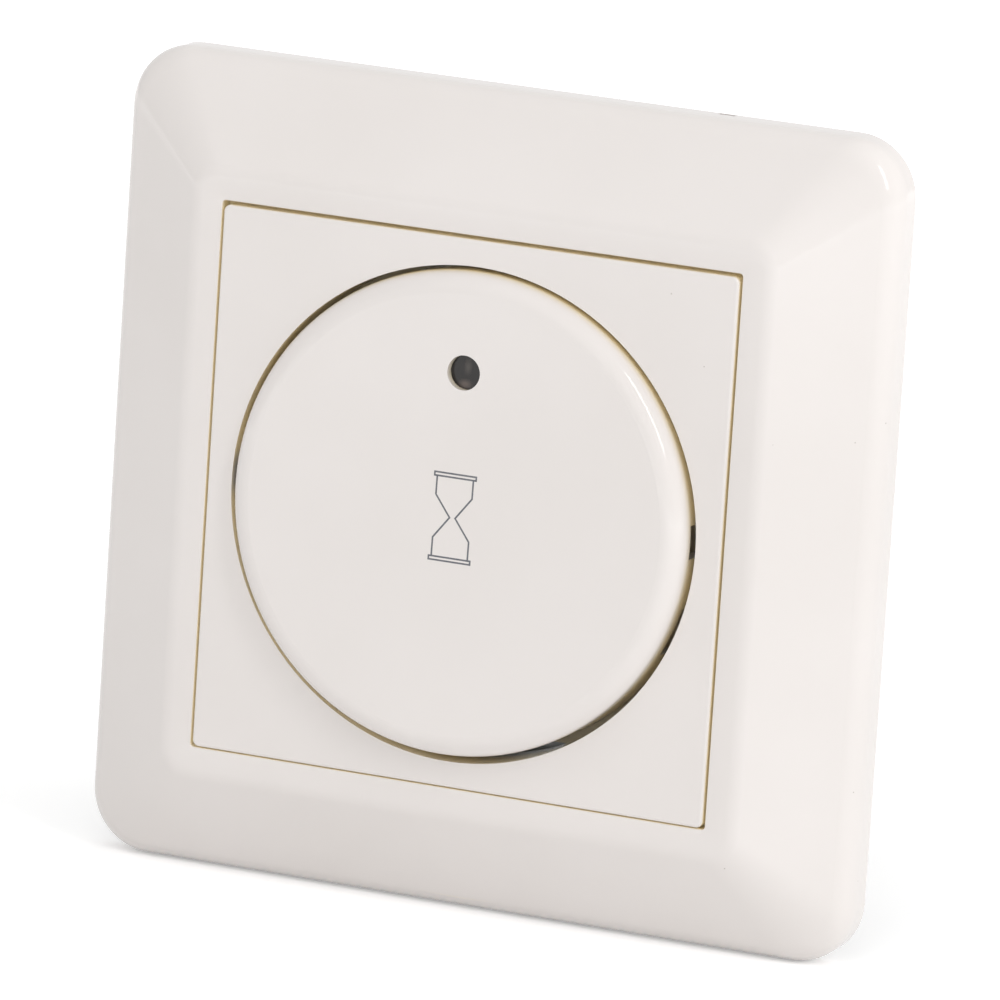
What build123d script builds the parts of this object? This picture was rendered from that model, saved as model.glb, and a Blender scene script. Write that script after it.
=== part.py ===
from build123d import *
import math
import os

# A flush-mounted ventilation boost timer, in millimetres.
# Every piece is drawn with the timer on its back: X to the right, Y up the wall, Z out of the wall,
# and the wall's face at Z = 0. stand_up() then turns it, so that +Z is up and the front faces -Y.
# The origin lies midway between the two box screws, in the plane of the wall.

# Push cap
cap_radius = 24.4
cap_top = 1.8
cap_wall = 1.6
cap_height = 7.2  # from the face to the lower edge of the skirt
cap_rim_round = 2.2
cap_face_z = 12.0  # height of the face when the cap is pressed level
cap_tilt = 2.0  # degrees that the springs hold the lower edge out at rest
cap_press = 2.2  # degrees of travel
clip_slot_angle = 1.0  # degrees round the skirt from +X
clip_slot_width = 3.4
clip_slot_depth = 2.6  # from the face to the slot's upper edge
deep_slot_angle = -22.0
deep_slot_width = 5.2
deep_slot_depth = 4.2

# Cap hinge
hinge_inset = 4.8  # from the skirt's inside to the pin
hinge_z = 7.0
hinge_pin_radius = 0.75
hinge_pin_seat = 0.02  # clearance in the fixed ears
hinge_pin_fit = 0.06  # running clearance in the cap's lugs
hinge_barrel_radius = 1.7
lug_x = 6.0  # inner face of each lug
lug_width = 1.7
lug_gap = 0.35
ear_width = 1.7
pin_overhang = 0.3

# Indicator window in the cap
window_drop = 3.6  # below the hinge
window_radius = 1.75
window_fit = 0.03
window_recess = 0.85
window_flange_radius = 2.6
window_flange = 0.6

# Hourglass mark, let into the cap's face
mark_depth = 0.12
mark_line = 0.18
mark_width = 4.65
mark_height = 9.0
mark_drop = 0.2  # of its middle, below the cap's middle
mark_bar = 0.54  # height of the bar at each end
mark_shoulder_x = 1.95
mark_shoulder_y = 2.17
mark_neck_x = 0.3

# Push switch on the board, under the cap
pusher_arm = 14.0  # from the hinge down to the pusher
pusher_radius = 2.0
pusher_tip_radius = 1.2
pusher_tip = 0.8
pusher_gap = 0.2
switch_width = 6.0
switch_body = 3.5
switch_height = 7.0  # from the board to the plunger's top
switch_top_wall = 0.8
switch_floor = 0.8
switch_cavity_radius = 2.6
plunger_radius = 1.75
plunger_fit = 0.06
plunger_flange_radius = 2.3
plunger_flange = 0.6
plunger_lift = 0.1
dome_radius = 2.2
dome_height = 0.45
dome_sheet = 0.15

# Return springs
spring_x = 11.0
spring_lift = 7.0  # above the stop
spring_radius = 2.7  # to the middle of the wire
spring_wire_radius = 0.3
spring_turns = 5.5
spring_end_gap = 0.1
spring_peg_radius = 1.9
spring_peg = 1.4

# Outward stop of the cap: a hook under a fixed bridge
stop_inset = 3.8  # from the skirt's inside to the bridge's upper side
stop_bridge_width = 9.0
stop_bridge_depth = 1.6
stop_bridge_low = 6.4
stop_bridge_high = 7.6
stop_post = 1.5
stop_leg_width = 6.0
stop_leg = 1.2
stop_leg_gap = 0.4
stop_lip = 1.2
stop_lip_gap = 0.2
stop_lip_reach = 0.9
stop_pocket_room = 0.5

# Centre plate
plate_rim = 2.65  # from the hole to the plate's edge
cap_gap = 0.7  # round the cap
plate_thickness = 2.0
plate_proud = 0.2  # above the frame's ledge
plate_corner_round = 0.7
plate_edge_round = 0.3
plate_sag = 0.13  # the plate sits this much low in the frame
collar_wall = 1.2
collar_clearance = 0.3
plate_leg_x = 12.0
plate_leg_width = 5.0
plate_leg = 1.4
plate_leg_clearance = 0.5
plate_hook = 0.9
plate_hook_height = 1.3
plate_hook_gap = 0.1

# Cover frame
plate_gap = 0.25  # round the centre plate
ledge_width = 2.9
ledge_z = 10.1
ledge_corner_round = 2.75
ledge_blend = 3.0
slope_width = 10.75
frame_side = 3.9  # height of the upright side
frame_corner_round = 6.2
frame_edge_round = 3.2
frame_wall = 2.0
opening_round = 0.35
step_width = 1.5  # the shelf that the centre plate presses on
step_thickness = 1.8
step_backing = 3.2
frame_rib_y = 18.0
frame_rib_length = 8.0
frame_rib = 1.2
frame_rib_clearance = 0.3
frame_rib_lift = 0.4
notch_x = 21.4
notch_width = 1.8
notch_depth = 0.7

# Support plate
support_width = 71.0
support_corner_round = 4.0
support_thickness = 1.2
support_opening_inset = 2.5  # from the housing's side
support_lip_length = 50.0
support_lip = 1.8
box_screw_spacing = 60.0
box_slot_length = 7.5
box_slot_width = 3.9
leg_slot_clearance = 0.3

# Rear housing, in the wall box
housing_clearance = 1.6  # from the centre plate's legs
housing_depth = 26.0
housing_corner_round = 9.0
housing_wall = 1.6
screw_inset = 5.8  # from the housing's side to each screw
pad_radius = 3.2
pad_height = 3.0  # of the corner pads that the screw heads bear on
screw_sink = 1.8  # depth of the recess for each head
sleeve_radius = 2.6
wire_entry_radius = 1.9
driver_hole_radius = 1.9
board_rib_y = 7.0
board_rib = 1.2
board_rib_reach = 1.6

# Housing screws
screw_radius = 1.25
screw_clearance = 0.15
screw_bore_fit = 0.02
screw_head_radius = 2.1
screw_head = 1.6
screw_head_clearance = 0.3
screw_bite = 2.4
screw_recess_width = 0.6
screw_recess_length = 2.4
screw_recess = 0.8

# Insert front
base_thickness = 3.0
ring_wall = 1.4
ring_clearance = 0.2
window_cut_clearance = 0.4
chimney_wall = 0.7
chimney_height = 4.4
guide_radius = 1.36
guide_fit = 0.04
guide_proud = 0.6
guide_gap = 0.5

# Circuit board
board_front = -1.0
board_thickness = 1.6
board_clearance = 0.3
sleeve_clearance = 0.4
lead_radius = 0.3
lead_hole_radius = 0.45
lead_end = 0.8

# Indicator lamp
lamp_radius = 1.5
lamp_flange_radius = 1.9
lamp_flange = 0.8
lamp_height = 5.0
lamp_lead_x = 1.27
lamp_lead_short = 0.2  # the lamp's leads end inside the board
lamp_bore_clearance = 0.2

# Time setting
trimmer_x = -11.0
trimmer_y = 2.0
trimmer_width = 6.6
trimmer_height = 4.8
rotor_radius = 2.5
rotor_fit = 0.06
rotor_seat = 2.2
rotor_gap = 0.06
rotor_proud = 0.5
rotor_slot_width = 0.8
rotor_slot_length = 4.0
rotor_slot_depth = 0.9

# Relay
relay_x = -5.0
relay_gap = 0.5  # over the terminal block
relay_width = 12.0
relay_length = 19.0
relay_height = 15.6
relay_wall = 0.8
relay_base_clearance = 0.15
relay_standoff = 0.2
relay_base_thickness = 1.8
relay_coil_w = 8.0  # height of the coil's axis over the board
relay_steel = 1.0
relay_yoke_width = 8.0
relay_yoke_end = 1.3  # from the end of the base to the yoke's back
relay_yoke_foot = 1.0
relay_core_radius = 1.6
relay_core_length = 10.4
relay_pole_radius = 2.8
relay_pole = 0.7
relay_bobbin_wall = 0.5
relay_bobbin_fit = 0.05
relay_flange_radius = 4.6
relay_flange = 0.7
relay_winding_radius = 4.1
relay_winding_gap = 0.08
relay_arm_gap = 0.25
relay_air_gap = 0.6
relay_armature = 0.9
relay_armature_foot = 4.4
relay_leaf = 0.25
relay_leaf_width = 4.0
relay_leaf_foot = 2.5
relay_leaf_top = 6.0
relay_contact_w = 3.3
relay_contact_radius = 0.8
relay_contact = 0.5
relay_contact_gap = 0.72
relay_post_width = 2.4
relay_pin_shift = 1.7  # of the pins, left of the relay's middle
relay_pin_x = 2.3
relay_pin_y = 7.5

# Other parts behind the board
film_x = 8.0
film_y = 7.6
film_size = (10.5, 6.0, 12.0)
film_round = 0.8
film_lead_x = 3.75
can_x = 4.6
can_gap = 0.6  # over the terminal block
can_radius = 3.15
can_height = 11.0
can_groove = 0.4
can_groove_height = 2.0
can_lead_x = 1.25
varistor_x = 11.8
varistor_y = -2.5
varistor_radius = 3.5
varistor_thickness = 3.2
varistor_lift = 1.0
varistor_lead_x = 2.5
fuse_x = -15.2
fuse_y = 0.0
fuse_radius = 1.7
fuse_length = 6.4
fuse_lift = 0.4
fuse_lead_reach = 0.95
fuse_lead_bend = 0.6
bridge_x = 6.0
bridge_y = 15.6
bridge_size = (4.7, 3.8, 2.5)
chip_x = -6.0
chip_y = 16.0
chip_size = (5.0, 3.0, 1.0)
chip_legs = 7
chip_leg_pitch = 0.65
chip_leg_width = 0.25
chip_leg_reach = 0.6
chip_leg_height = 0.4
resistor_size = (2.0, 1.25, 0.5)
resistor_x = 15.9
resistor_y = 2.2
resistor_step = 2.2
resistors = 4
foot_height = 0.2
foot_reach = 0.8
foot_width = 0.9

# Terminals
terminals = 4
terminal_pitch = 5.0
terminal_entry = 1.75  # wall between the wire entries and the cages
terminal_wall = 0.9
terminal_block_clearance = 0.2
terminal_floor = 1.2
cage_width = 3.8
cage_length = 6.0
cage_sheet = 0.6
cage_nut = 1.2  # thickness of the threaded wall
cage_clearance = 0.25
cage_travel = 2.3
cage_bar_gap = 0.3
bar_width = 2.2
bar_thickness = 0.8
bar_clearance = 0.15
bar_reach = 5.6  # from the clamp screw to the bar's leg
bar_cover = 2.0  # of the block over the bar's leg
bar_pin_width = 1.0
bar_hole_radius = 0.8
wire_space = 3.2
clamp_screw_radius = 1.3
clamp_thread_fit = 0.06
clamp_screw_pitch = 0.5
clamp_head_radius = 1.9
clamp_head = 1.4
clamp_head_clearance = 0.2
clamp_slot_width = 0.7
clamp_slot_depth = 0.7
clamp_tip_gap = 0.1
clamp_head_gap = 0.2
nose_wall = 0.9  # of the block's nose, outside the wire entries
nose_clearance = 0.15  # in the housing's notch

# Places that follow from the sizes above
hinge_y = cap_radius - cap_wall - hinge_inset
window_y = hinge_y - window_drop
stop_y = stop_inset + cap_wall - cap_radius
spring_y = stop_y + spring_lift
switch_y = hinge_y - pusher_arm
tilt = math.radians(cap_tilt)
cap_underside = cap_face_z - cap_top
hole_radius = cap_radius + cap_gap
plate_width = 2 * (hole_radius + plate_rim)
plate_back = ledge_z + plate_proud - plate_thickness
opening_width = plate_width + 2 * plate_gap
step_half = opening_width / 2 - step_width
frame_width = opening_width + 2 * (ledge_width + slope_width)
leg_outer = step_half - plate_leg_clearance
leg_inner = leg_outer - plate_leg
housing_half = leg_inner - housing_clearance
support_opening_radius = housing_half - support_opening_inset
base_top = support_thickness + base_thickness
board_back = board_front - board_thickness
screw_at = housing_half - screw_inset
screw_places = [(x, y) for x in (-screw_at, screw_at) for y in (-screw_at, screw_at)]
ear_x = lug_x + lug_width + lug_gap
pin_end = ear_x + ear_width + pin_overhang
housing_floor = housing_wall - housing_depth
pad_top = pad_height - housing_depth
screw_seat_z = screw_sink - housing_depth
block_back = housing_floor + terminal_block_clearance
block_low = housing_wall - housing_half + terminal_block_clearance
cell_reach = cage_length / 2 + cage_clearance
terminal_y = block_low + terminal_entry + cell_reach
bar_leg_y = terminal_y + bar_reach
block_top = bar_leg_y + bar_cover
relay_y = block_top + relay_gap + relay_length / 2
can_y = block_top + can_gap + can_radius
head_back = block_back + clamp_head_gap
bar_back = head_back + clamp_head + cage_clearance + cage_travel + cage_nut + cage_bar_gap
bar_front = bar_back + bar_thickness
wire_z = bar_front + wire_space / 2
nose_half = (terminals - 1) * terminal_pitch / 2 + wire_entry_radius + nose_wall
nose_back = wire_z - wire_entry_radius - nose_wall
cage_front = bar_front + wire_space + cage_sheet
terminal_xs = [(i - (terminals - 1) / 2) * terminal_pitch for i in range(terminals)]
relay_pin_xs = (relay_x - relay_pin_shift - relay_pin_x, relay_x - relay_pin_shift + relay_pin_x)
relay_pins = [(x, relay_y + y) for x in relay_pin_xs for y in (-relay_pin_y, relay_pin_y)]
film_leads = [(film_x - film_lead_x, film_y), (film_x + film_lead_x, film_y)]
can_leads = [(can_x - can_lead_x, can_y), (can_x + can_lead_x, can_y)]
varistor_leads = [(varistor_x - varistor_lead_x, varistor_y), (varistor_x + varistor_lead_x, varistor_y)]
fuse_reach = fuse_length / 2 + fuse_lead_reach
fuse_leads = [(fuse_x, fuse_y - fuse_reach), (fuse_x, fuse_y + fuse_reach)]
lamp_leads = [(-lamp_lead_x, window_y), (lamp_lead_x, window_y)]


def box(x, y, z):
    # A block between the two ends given for each axis.
    centre = Pos((x[0] + x[1]) / 2, (y[0] + y[1]) / 2, (z[0] + z[1]) / 2)
    return centre * Box(x[1] - x[0], y[1] - y[0], z[1] - z[0])


def centred(x, y, width, length, z):
    return box((x - width / 2, x + width / 2), (y - length / 2, y + length / 2), z)


def prism(sketch, low, high):
    return Pos(0, 0, low) * extrude(sketch, amount=high - low)


def rod(radius, low, high, x=0.0, y=0.0):
    return Pos(x, y, (low + high) / 2) * Cylinder(radius, high - low)


def rod_along_x(radius, start, end, y, z):
    return Pos((start + end) / 2, y, z) * Rot(0, 90, 0) * Cylinder(radius, end - start)


def rod_along_y(radius, start, end, x, z):
    return Pos(x, (start + end) / 2, z) * Rot(90, 0, 0) * Cylinder(radius, end - start)


def square(width, corner):
    return RectangleRounded(width, width, corner)


def behind(near, far):
    # Heights over the back of the board, as a range of Z.
    return (board_back - far, board_back - near)


def leads(places):
    # Wire leads that pass through the board from a part behind it.
    return Part() + [rod(lead_radius, board_back, board_front + lead_end, x, y) for x, y in places]


def at_rest(piece):
    # The cap and what it carries, tilted out about the hinge.
    return piece.rotate(Axis((0, hinge_y, hinge_z), (1, 0, 0)), -cap_tilt)


def out_at_rest(y):
    # How much further out a point of the cap at this height up the wall lies at rest.
    return (hinge_y - y) * math.sin(tilt)


def mark_sketch():
    bar_y = (mark_height - mark_bar) / 2
    inside = mark_width - 2 * mark_line
    bar = Rectangle(mark_width, mark_bar) - Rectangle(inside, mark_bar - 2 * mark_line)
    bar_edge = mark_height / 2 - mark_bar
    glass = []
    for sign in (-1, 1):
        side = Polyline(
            (sign * mark_shoulder_x, bar_edge),
            (sign * mark_shoulder_x, mark_shoulder_y),
            (sign * mark_neck_x, 0),
            (sign * mark_shoulder_x, -mark_shoulder_y),
            (sign * mark_shoulder_x, -bar_edge),
        )
        glass.append(trace(side, line_width=mark_line))
    mark = Sketch() + [Pos(0, bar_y) * bar, Pos(0, -bar_y) * bar] + glass
    return Pos(0, -mark_drop) * mark


def skirt_slot(angle, width, depth):
    # A slot through the skirt, open at its lower edge.
    low = cap_face_z - cap_height
    through = box((cap_radius - 2 * cap_wall, cap_radius + cap_wall), (-width / 2, width / 2), (low, cap_face_z - depth))
    return Rot(0, 0, angle) * through


def push_cap():
    low = cap_face_z - cap_height
    shell = rod(cap_radius, low, cap_face_z)
    shell = fillet(shell.edges().group_by(Axis.Z)[-1], cap_rim_round)
    shell -= rod(cap_radius - cap_wall, low, cap_underside)
    for side in (0, 180):
        sign = 1 if side == 0 else -1
        shell -= skirt_slot(side + sign * clip_slot_angle, clip_slot_width, clip_slot_depth)
        shell -= skirt_slot(side + sign * deep_slot_angle, deep_slot_width, deep_slot_depth)
    for sign in (-1, 1):
        x = sorted((sign * lug_x, sign * (lug_x + lug_width)))
        lug_y = (hinge_y - hinge_barrel_radius, hinge_y + hinge_barrel_radius)
        shell += box(x, lug_y, (hinge_z, cap_underside))
        shell += rod_along_x(hinge_barrel_radius, x[0], x[1], hinge_y, hinge_z)
        shell += rod(spring_peg_radius, cap_underside - spring_peg, cap_underside, sign * spring_x, spring_y)
    shell -= rod_along_x(hinge_pin_radius + hinge_pin_fit, -pin_end, pin_end, hinge_y, hinge_z)
    tip = board_front + switch_height + pusher_gap - out_at_rest(switch_y)
    shell += rod(pusher_radius, tip + pusher_tip, cap_underside, 0, switch_y)
    shell += rod(pusher_tip_radius, tip, tip + pusher_tip, 0, switch_y)
    lip_top = stop_bridge_low - stop_lip_gap - out_at_rest(stop_y)
    leg_y = stop_y + stop_leg_gap
    leg_x = (-stop_leg_width / 2, stop_leg_width / 2)
    shell += box(leg_x, (leg_y, leg_y + stop_leg), (lip_top - stop_lip, cap_underside))
    shell += box(leg_x, (stop_y - stop_lip_reach, leg_y), (lip_top - stop_lip, lip_top))
    shell -= rod(window_radius, cap_underside, cap_face_z, 0, window_y)
    shell -= prism(mark_sketch(), cap_face_z - mark_depth, cap_face_z)
    return at_rest(shell)


def hourglass_mark():
    return at_rest(prism(mark_sketch(), cap_face_z - mark_depth, cap_face_z))


def window_lens():
    lens = rod(window_radius - window_fit, cap_underside, cap_face_z - window_recess, 0, window_y)
    lens += rod(window_flange_radius, cap_underside - window_flange, cap_underside, 0, window_y)
    return at_rest(lens)


def cap_hinge_pin():
    return rod_along_x(hinge_pin_radius, -pin_end, pin_end, hinge_y, hinge_z)


def biarc(start, start_way, end, end_way):
    # Two tangent arcs that join two points, each with its direction.
    span = end - start
    ways = start_way + end_way
    bend = 2 * (1 - start_way.dot(end_way))
    reach = (math.sqrt(span.dot(ways) ** 2 + bend * span.dot(span)) - span.dot(ways)) / bend
    first = start + start_way * reach
    last = end - end_way * reach
    joint = (first + last) * 0.5
    way = (last - first).normalized()
    return [TangentArc(start, joint, tangent=start_way), TangentArc(joint, end, tangent=way)]


def return_spring(x):
    # One unbroken coil from the insert front up to the cap's underside.
    bottom = base_top + spring_wire_radius + spring_end_gap
    upper_side = spring_y + spring_radius + spring_wire_radius
    top = cap_underside + out_at_rest(upper_side) - spring_wire_radius - spring_end_gap
    pitch = (top - bottom) / spring_turns
    quarters = round(4 * spring_turns)
    rise = (top - bottom) / quarters
    points = []
    ways = []
    for i in range(quarters + 1):
        turn = i * math.pi / 2
        points.append(
            Vector(x + spring_radius * math.cos(turn), spring_y + spring_radius * math.sin(turn), bottom + i * rise)
        )
        along = Vector(-spring_radius * math.sin(turn), spring_radius * math.cos(turn), pitch / (2 * math.pi))
        ways.append(along.normalized())
    arcs = []
    for i in range(quarters):
        arcs += biarc(points[i], ways[i], points[i + 1], ways[i + 1])
    path = Wire(arcs)
    section = Plane(origin=points[0], z_dir=ways[0]) * Circle(spring_wire_radius)
    least_gap = pitch * math.cos(math.atan(pitch / (2 * math.pi * spring_radius))) - 2 * spring_wire_radius
    print("spring at x", x, "least gap between curls", round(least_gap, 3))
    return sweep(section, path=path)


def slope_z(x):
    # Height of the frame's sloped face at this distance from the middle.
    return frame_side + (frame_width / 2 - x) * (ledge_z - frame_side) / slope_width


def frame_body(inset, drop, top, side_round, top_round):
    # The frame's outer form, or the hollow under it when it is set in by a wall.
    side = frame_width / 2 - inset
    low = slope_z(side) - drop
    end = frame_width / 2 - slope_width * (top + drop - frame_side) / (ledge_z - frame_side)
    lower = square(2 * side, side_round)
    upper = square(2 * end, top_round)
    return prism(lower, 0, low) + loft([Pos(0, 0, low) * lower, Pos(0, 0, top) * upper], ruled=True), low


def cover_frame():
    body, edge_z = frame_body(0, 0, ledge_z, frame_corner_round, ledge_corner_round)
    body = fillet(body.edges().filter_by_position(Axis.Z, edge_z, edge_z), frame_edge_round)
    body = fillet(body.edges().group_by(Axis.Z)[-1], ledge_blend)
    lean = math.atan2(ledge_z - frame_side, slope_width)
    hollow, _ = frame_body(
        frame_wall, frame_wall / math.cos(lean), ledge_z - frame_wall, frame_corner_round - frame_wall, ledge_corner_round
    )
    body -= hollow
    step = square(2 * (step_half + step_backing), ledge_corner_round)
    body += prism(step, plate_back - step_thickness, ledge_z - frame_wall)
    body -= prism(square(opening_width, opening_round), plate_back, ledge_z)
    body -= prism(square(2 * step_half, opening_round), plate_back - step_thickness, plate_back)
    rib_inner = support_width / 2 + frame_rib_clearance
    rib_outer = rib_inner + frame_rib
    rib_top = slope_z(rib_outer) - frame_wall / 2
    for side in range(4):
        for y in (-frame_rib_y, frame_rib_y):
            rib = box(
                (rib_inner, rib_outer), (y - frame_rib_length / 2, y + frame_rib_length / 2), (frame_rib_lift, rib_top)
            )
            body += Rot(0, 0, 90 * side) * rib
    half = frame_width / 2
    body -= box(
        (notch_x - notch_width / 2, notch_x + notch_width / 2), (half - frame_wall, half), (0, notch_depth)
    )
    return body


def centre_plate():
    slab = prism(square(plate_width, plate_corner_round), plate_back, ledge_z + plate_proud)
    slab = fillet(slab.edges().group_by(Axis.Z)[-1], plate_edge_round)
    collar_low = base_top + collar_clearance
    slab += rod(hole_radius + collar_wall, collar_low, plate_back)
    hook_low = -plate_hook_gap - plate_hook_height
    for x in (-plate_leg_x, plate_leg_x):
        for side in (-1, 1):
            leg_y = sorted((side * leg_inner, side * leg_outer))
            hook_y = sorted((side * leg_outer, side * (leg_outer + plate_hook)))
            x_range = (x - plate_leg_width / 2, x + plate_leg_width / 2)
            slab += box(x_range, leg_y, (hook_low, plate_back))
            slab += box(x_range, hook_y, (hook_low, -plate_hook_gap))
    slab -= rod(hole_radius, collar_low, ledge_z + plate_proud)
    return Pos(0, -plate_sag, 0) * slab


def support_plate():
    sheet = prism(square(support_width, support_corner_round), 0, support_thickness)
    lip_y = support_width / 2 - support_thickness / 2
    for side in (-1, 1):
        sheet += centred(
            0, side * lip_y, support_lip_length, support_thickness, (support_thickness, support_thickness + support_lip)
        )
        slot = Pos(side * box_screw_spacing / 2, 0) * SlotOverall(box_slot_length, box_slot_width)
        sheet -= prism(slot, 0, support_thickness)
        slot_inner = leg_inner - plate_hook - leg_slot_clearance
        slot_outer = leg_outer + leg_slot_clearance
        for x in (-plate_leg_x, plate_leg_x):
            sheet -= centred(
                x,
                side * (slot_inner + slot_outer) / 2,
                plate_leg_width + 2 * leg_slot_clearance,
                slot_outer - slot_inner,
                (0, support_thickness),
            )
    sheet -= rod(support_opening_radius, 0, support_thickness)
    for x, y in screw_places:
        sheet -= rod(screw_radius + screw_clearance, 0, support_thickness, x, y)
    return sheet


def insert_front():
    base = prism(square(2 * housing_half, housing_corner_round), support_thickness, base_top)
    ring_radius = support_opening_radius - ring_clearance
    base += rod(ring_radius, board_front, support_thickness) - rod(ring_radius - ring_wall, board_front, support_thickness)
    guide_bore = guide_radius + guide_fit
    chimney_top = base_top + chimney_height
    base += rod(guide_bore + chimney_wall, base_top, chimney_top, 0, window_y)
    base -= rod(lamp_radius + lamp_bore_clearance, support_thickness, base_top, 0, window_y)
    base -= rod(guide_bore, base_top, chimney_top, 0, window_y)
    for sign in (-1, 1):
        x = sorted((sign * ear_x, sign * (ear_x + ear_width)))
        ear_y = (hinge_y - hinge_barrel_radius, hinge_y + hinge_barrel_radius)
        base += box(x, ear_y, (base_top, hinge_z))
        base += rod_along_x(hinge_barrel_radius, x[0], x[1], hinge_y, hinge_z)
        base += rod(spring_peg_radius, base_top, base_top + spring_peg, sign * spring_x, spring_y)
        post = sorted((sign * stop_bridge_width / 2, sign * (stop_bridge_width / 2 + stop_post)))
        base += box(post, (stop_y - stop_bridge_depth, stop_y), (base_top, stop_bridge_high))
    base += centred(
        0, stop_y - stop_bridge_depth / 2, stop_bridge_width, stop_bridge_depth, (stop_bridge_low, stop_bridge_high)
    )
    base -= rod_along_x(hinge_pin_radius + hinge_pin_seat, -pin_end, pin_end, hinge_y, hinge_z)
    lip_travel = (hinge_y - stop_y) * math.sin(math.radians(cap_press))
    pocket_floor = stop_bridge_low - stop_lip_gap - stop_lip - lip_travel - stop_pocket_room
    base -= box(
        (-stop_bridge_width / 2, stop_bridge_width / 2),
        (stop_y - stop_lip_reach - stop_pocket_room, stop_y + stop_leg_gap + stop_leg + stop_pocket_room),
        (pocket_floor, base_top),
    )
    cut = switch_width + 2 * window_cut_clearance
    base -= centred(0, switch_y, cut, cut, (support_thickness, base_top))
    cut = trimmer_width + 2 * window_cut_clearance
    base -= centred(trimmer_x, trimmer_y, cut, cut, (support_thickness, base_top))
    for x, y in screw_places:
        base -= rod(screw_radius + screw_bore_fit, support_thickness, support_thickness + screw_bite, x, y)
    return base


def rear_housing():
    shell = prism(square(2 * housing_half, housing_corner_round), -housing_depth, 0)
    inside = square(2 * (housing_half - housing_wall), housing_corner_round - housing_wall)
    shell -= prism(inside, housing_floor, 0)
    for x, y in screw_places:
        shell += rod(pad_radius, housing_floor, pad_top, x, y)
        shell -= rod(screw_radius + screw_clearance, screw_seat_z, pad_top, x, y)
        shell -= rod(screw_head_radius + screw_head_clearance, -housing_depth, screw_seat_z, x, y)
    rib_outer = housing_half - housing_wall
    for side in (-1, 1):
        x = sorted((side * (rib_outer - board_rib_reach), side * rib_outer))
        for y in (-board_rib_y, board_rib_y):
            shell += box(x, (y - board_rib / 2, y + board_rib / 2), (housing_floor, board_back))
    notch_x_range = (-nose_half - nose_clearance, nose_half + nose_clearance)
    shell -= box(notch_x_range, (-housing_half, housing_wall - housing_half), (nose_back - nose_clearance, 0))
    for x in terminal_xs:
        shell -= rod(driver_hole_radius, -housing_depth, housing_floor, x, terminal_y)
    return shell


def screw_sleeves():
    # The tubes that the housing screws run through, between the housing's pads and the support plate.
    bore = screw_radius + screw_clearance
    return Compound(
        children=[rod(sleeve_radius, pad_top, 0, x, y) - rod(bore, pad_top, 0, x, y) for x, y in screw_places]
    )


def housing_screws():
    screws = []
    head_end = screw_seat_z - screw_head
    for x, y in screw_places:
        screw = rod(screw_head_radius, head_end, screw_seat_z, x, y)
        screw += rod(screw_radius, screw_seat_z, support_thickness + screw_bite, x, y)
        recess = (head_end, head_end + screw_recess)
        screw -= centred(x, y, screw_recess_length, screw_recess_width, recess)
        screw -= centred(x, y, screw_recess_width, screw_recess_length, recess)
        screws.append(screw)
    return Compound(children=screws)


def circuit_board():
    side = 2 * (housing_half - housing_wall - board_clearance)
    outline = square(side, housing_corner_round - housing_wall - board_clearance)
    board = prism(outline, board_back, board_front)
    for x, y in screw_places:
        board -= rod(sleeve_radius + sleeve_clearance, board_back, board_front, x, y)
    for x, y in relay_pins + film_leads + can_leads + varistor_leads + fuse_leads + lamp_leads:
        board -= rod(lead_hole_radius, board_back, board_front, x, y)
    for x in terminal_xs:
        board -= rod(bar_hole_radius, board_back, board_front, x, bar_leg_y)
    return board


def feet(x, y, width, spread, low):
    # Four soldered feet at the two sides of a part on the board's front.
    reach = width / 2 + foot_reach
    rows = [(side * (width + foot_reach) / 2, step * spread) for side in (-1, 1) for step in (-1, 1)]
    return [centred(x + dx, y + dy, reach - width / 2, foot_width, (low, low + foot_height)) for dx, dy in rows]


def switch_body_piece():
    body = centred(0, switch_y, switch_width, switch_width, (board_front, board_front + switch_body))
    top = board_front + switch_body
    body -= rod(plunger_radius + plunger_fit, top - switch_top_wall, top, 0, switch_y)
    body -= rod(switch_cavity_radius, board_front + switch_floor, top - switch_top_wall, 0, switch_y)
    body += feet(0, switch_y, switch_width, switch_width / 3, board_front)
    return body


def switch_dome():
    # The snap dome: a shallow dished sheet on the switch's floor.
    low = board_front + switch_floor
    sphere_radius = (dome_radius**2 + dome_height**2) / (2 * dome_height)
    centre = Pos(0, switch_y, low + dome_height - sphere_radius)
    dish = centre * Sphere(sphere_radius) - centre * Sphere(sphere_radius - dome_sheet)
    return dish & rod(dome_radius, low, low + dome_height, 0, switch_y)


def switch_plunger():
    under_top = board_front + switch_body - switch_top_wall - plunger_lift
    plunger = rod(plunger_radius, under_top, board_front + switch_height, 0, switch_y)
    plunger = chamfer(plunger.edges().group_by(Axis.Z)[-1], plunger_lift)
    return plunger + rod(plunger_flange_radius, under_top - plunger_flange, under_top, 0, switch_y)


def indicator_lamp():
    top = board_front + lamp_height
    lamp = rod(lamp_radius, board_front, top - lamp_radius, 0, window_y)
    lamp += Pos(0, window_y, top - lamp_radius) * Sphere(lamp_radius)
    lamp += rod(lamp_flange_radius, board_front, board_front + lamp_flange, 0, window_y)
    return lamp + [rod(lead_radius, board_back + lamp_lead_short, board_front, x, y) for x, y in lamp_leads]


def light_guide():
    low = board_front + lamp_height + guide_gap
    return rod(guide_radius, low, base_top + chimney_height + guide_proud, 0, window_y)


def trimmer_body():
    top = board_front + trimmer_height
    body = centred(trimmer_x, trimmer_y, trimmer_width, trimmer_width, (board_front, top))
    body -= rod(rotor_radius + rotor_fit, board_front + rotor_seat, top, trimmer_x, trimmer_y)
    return body


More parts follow.
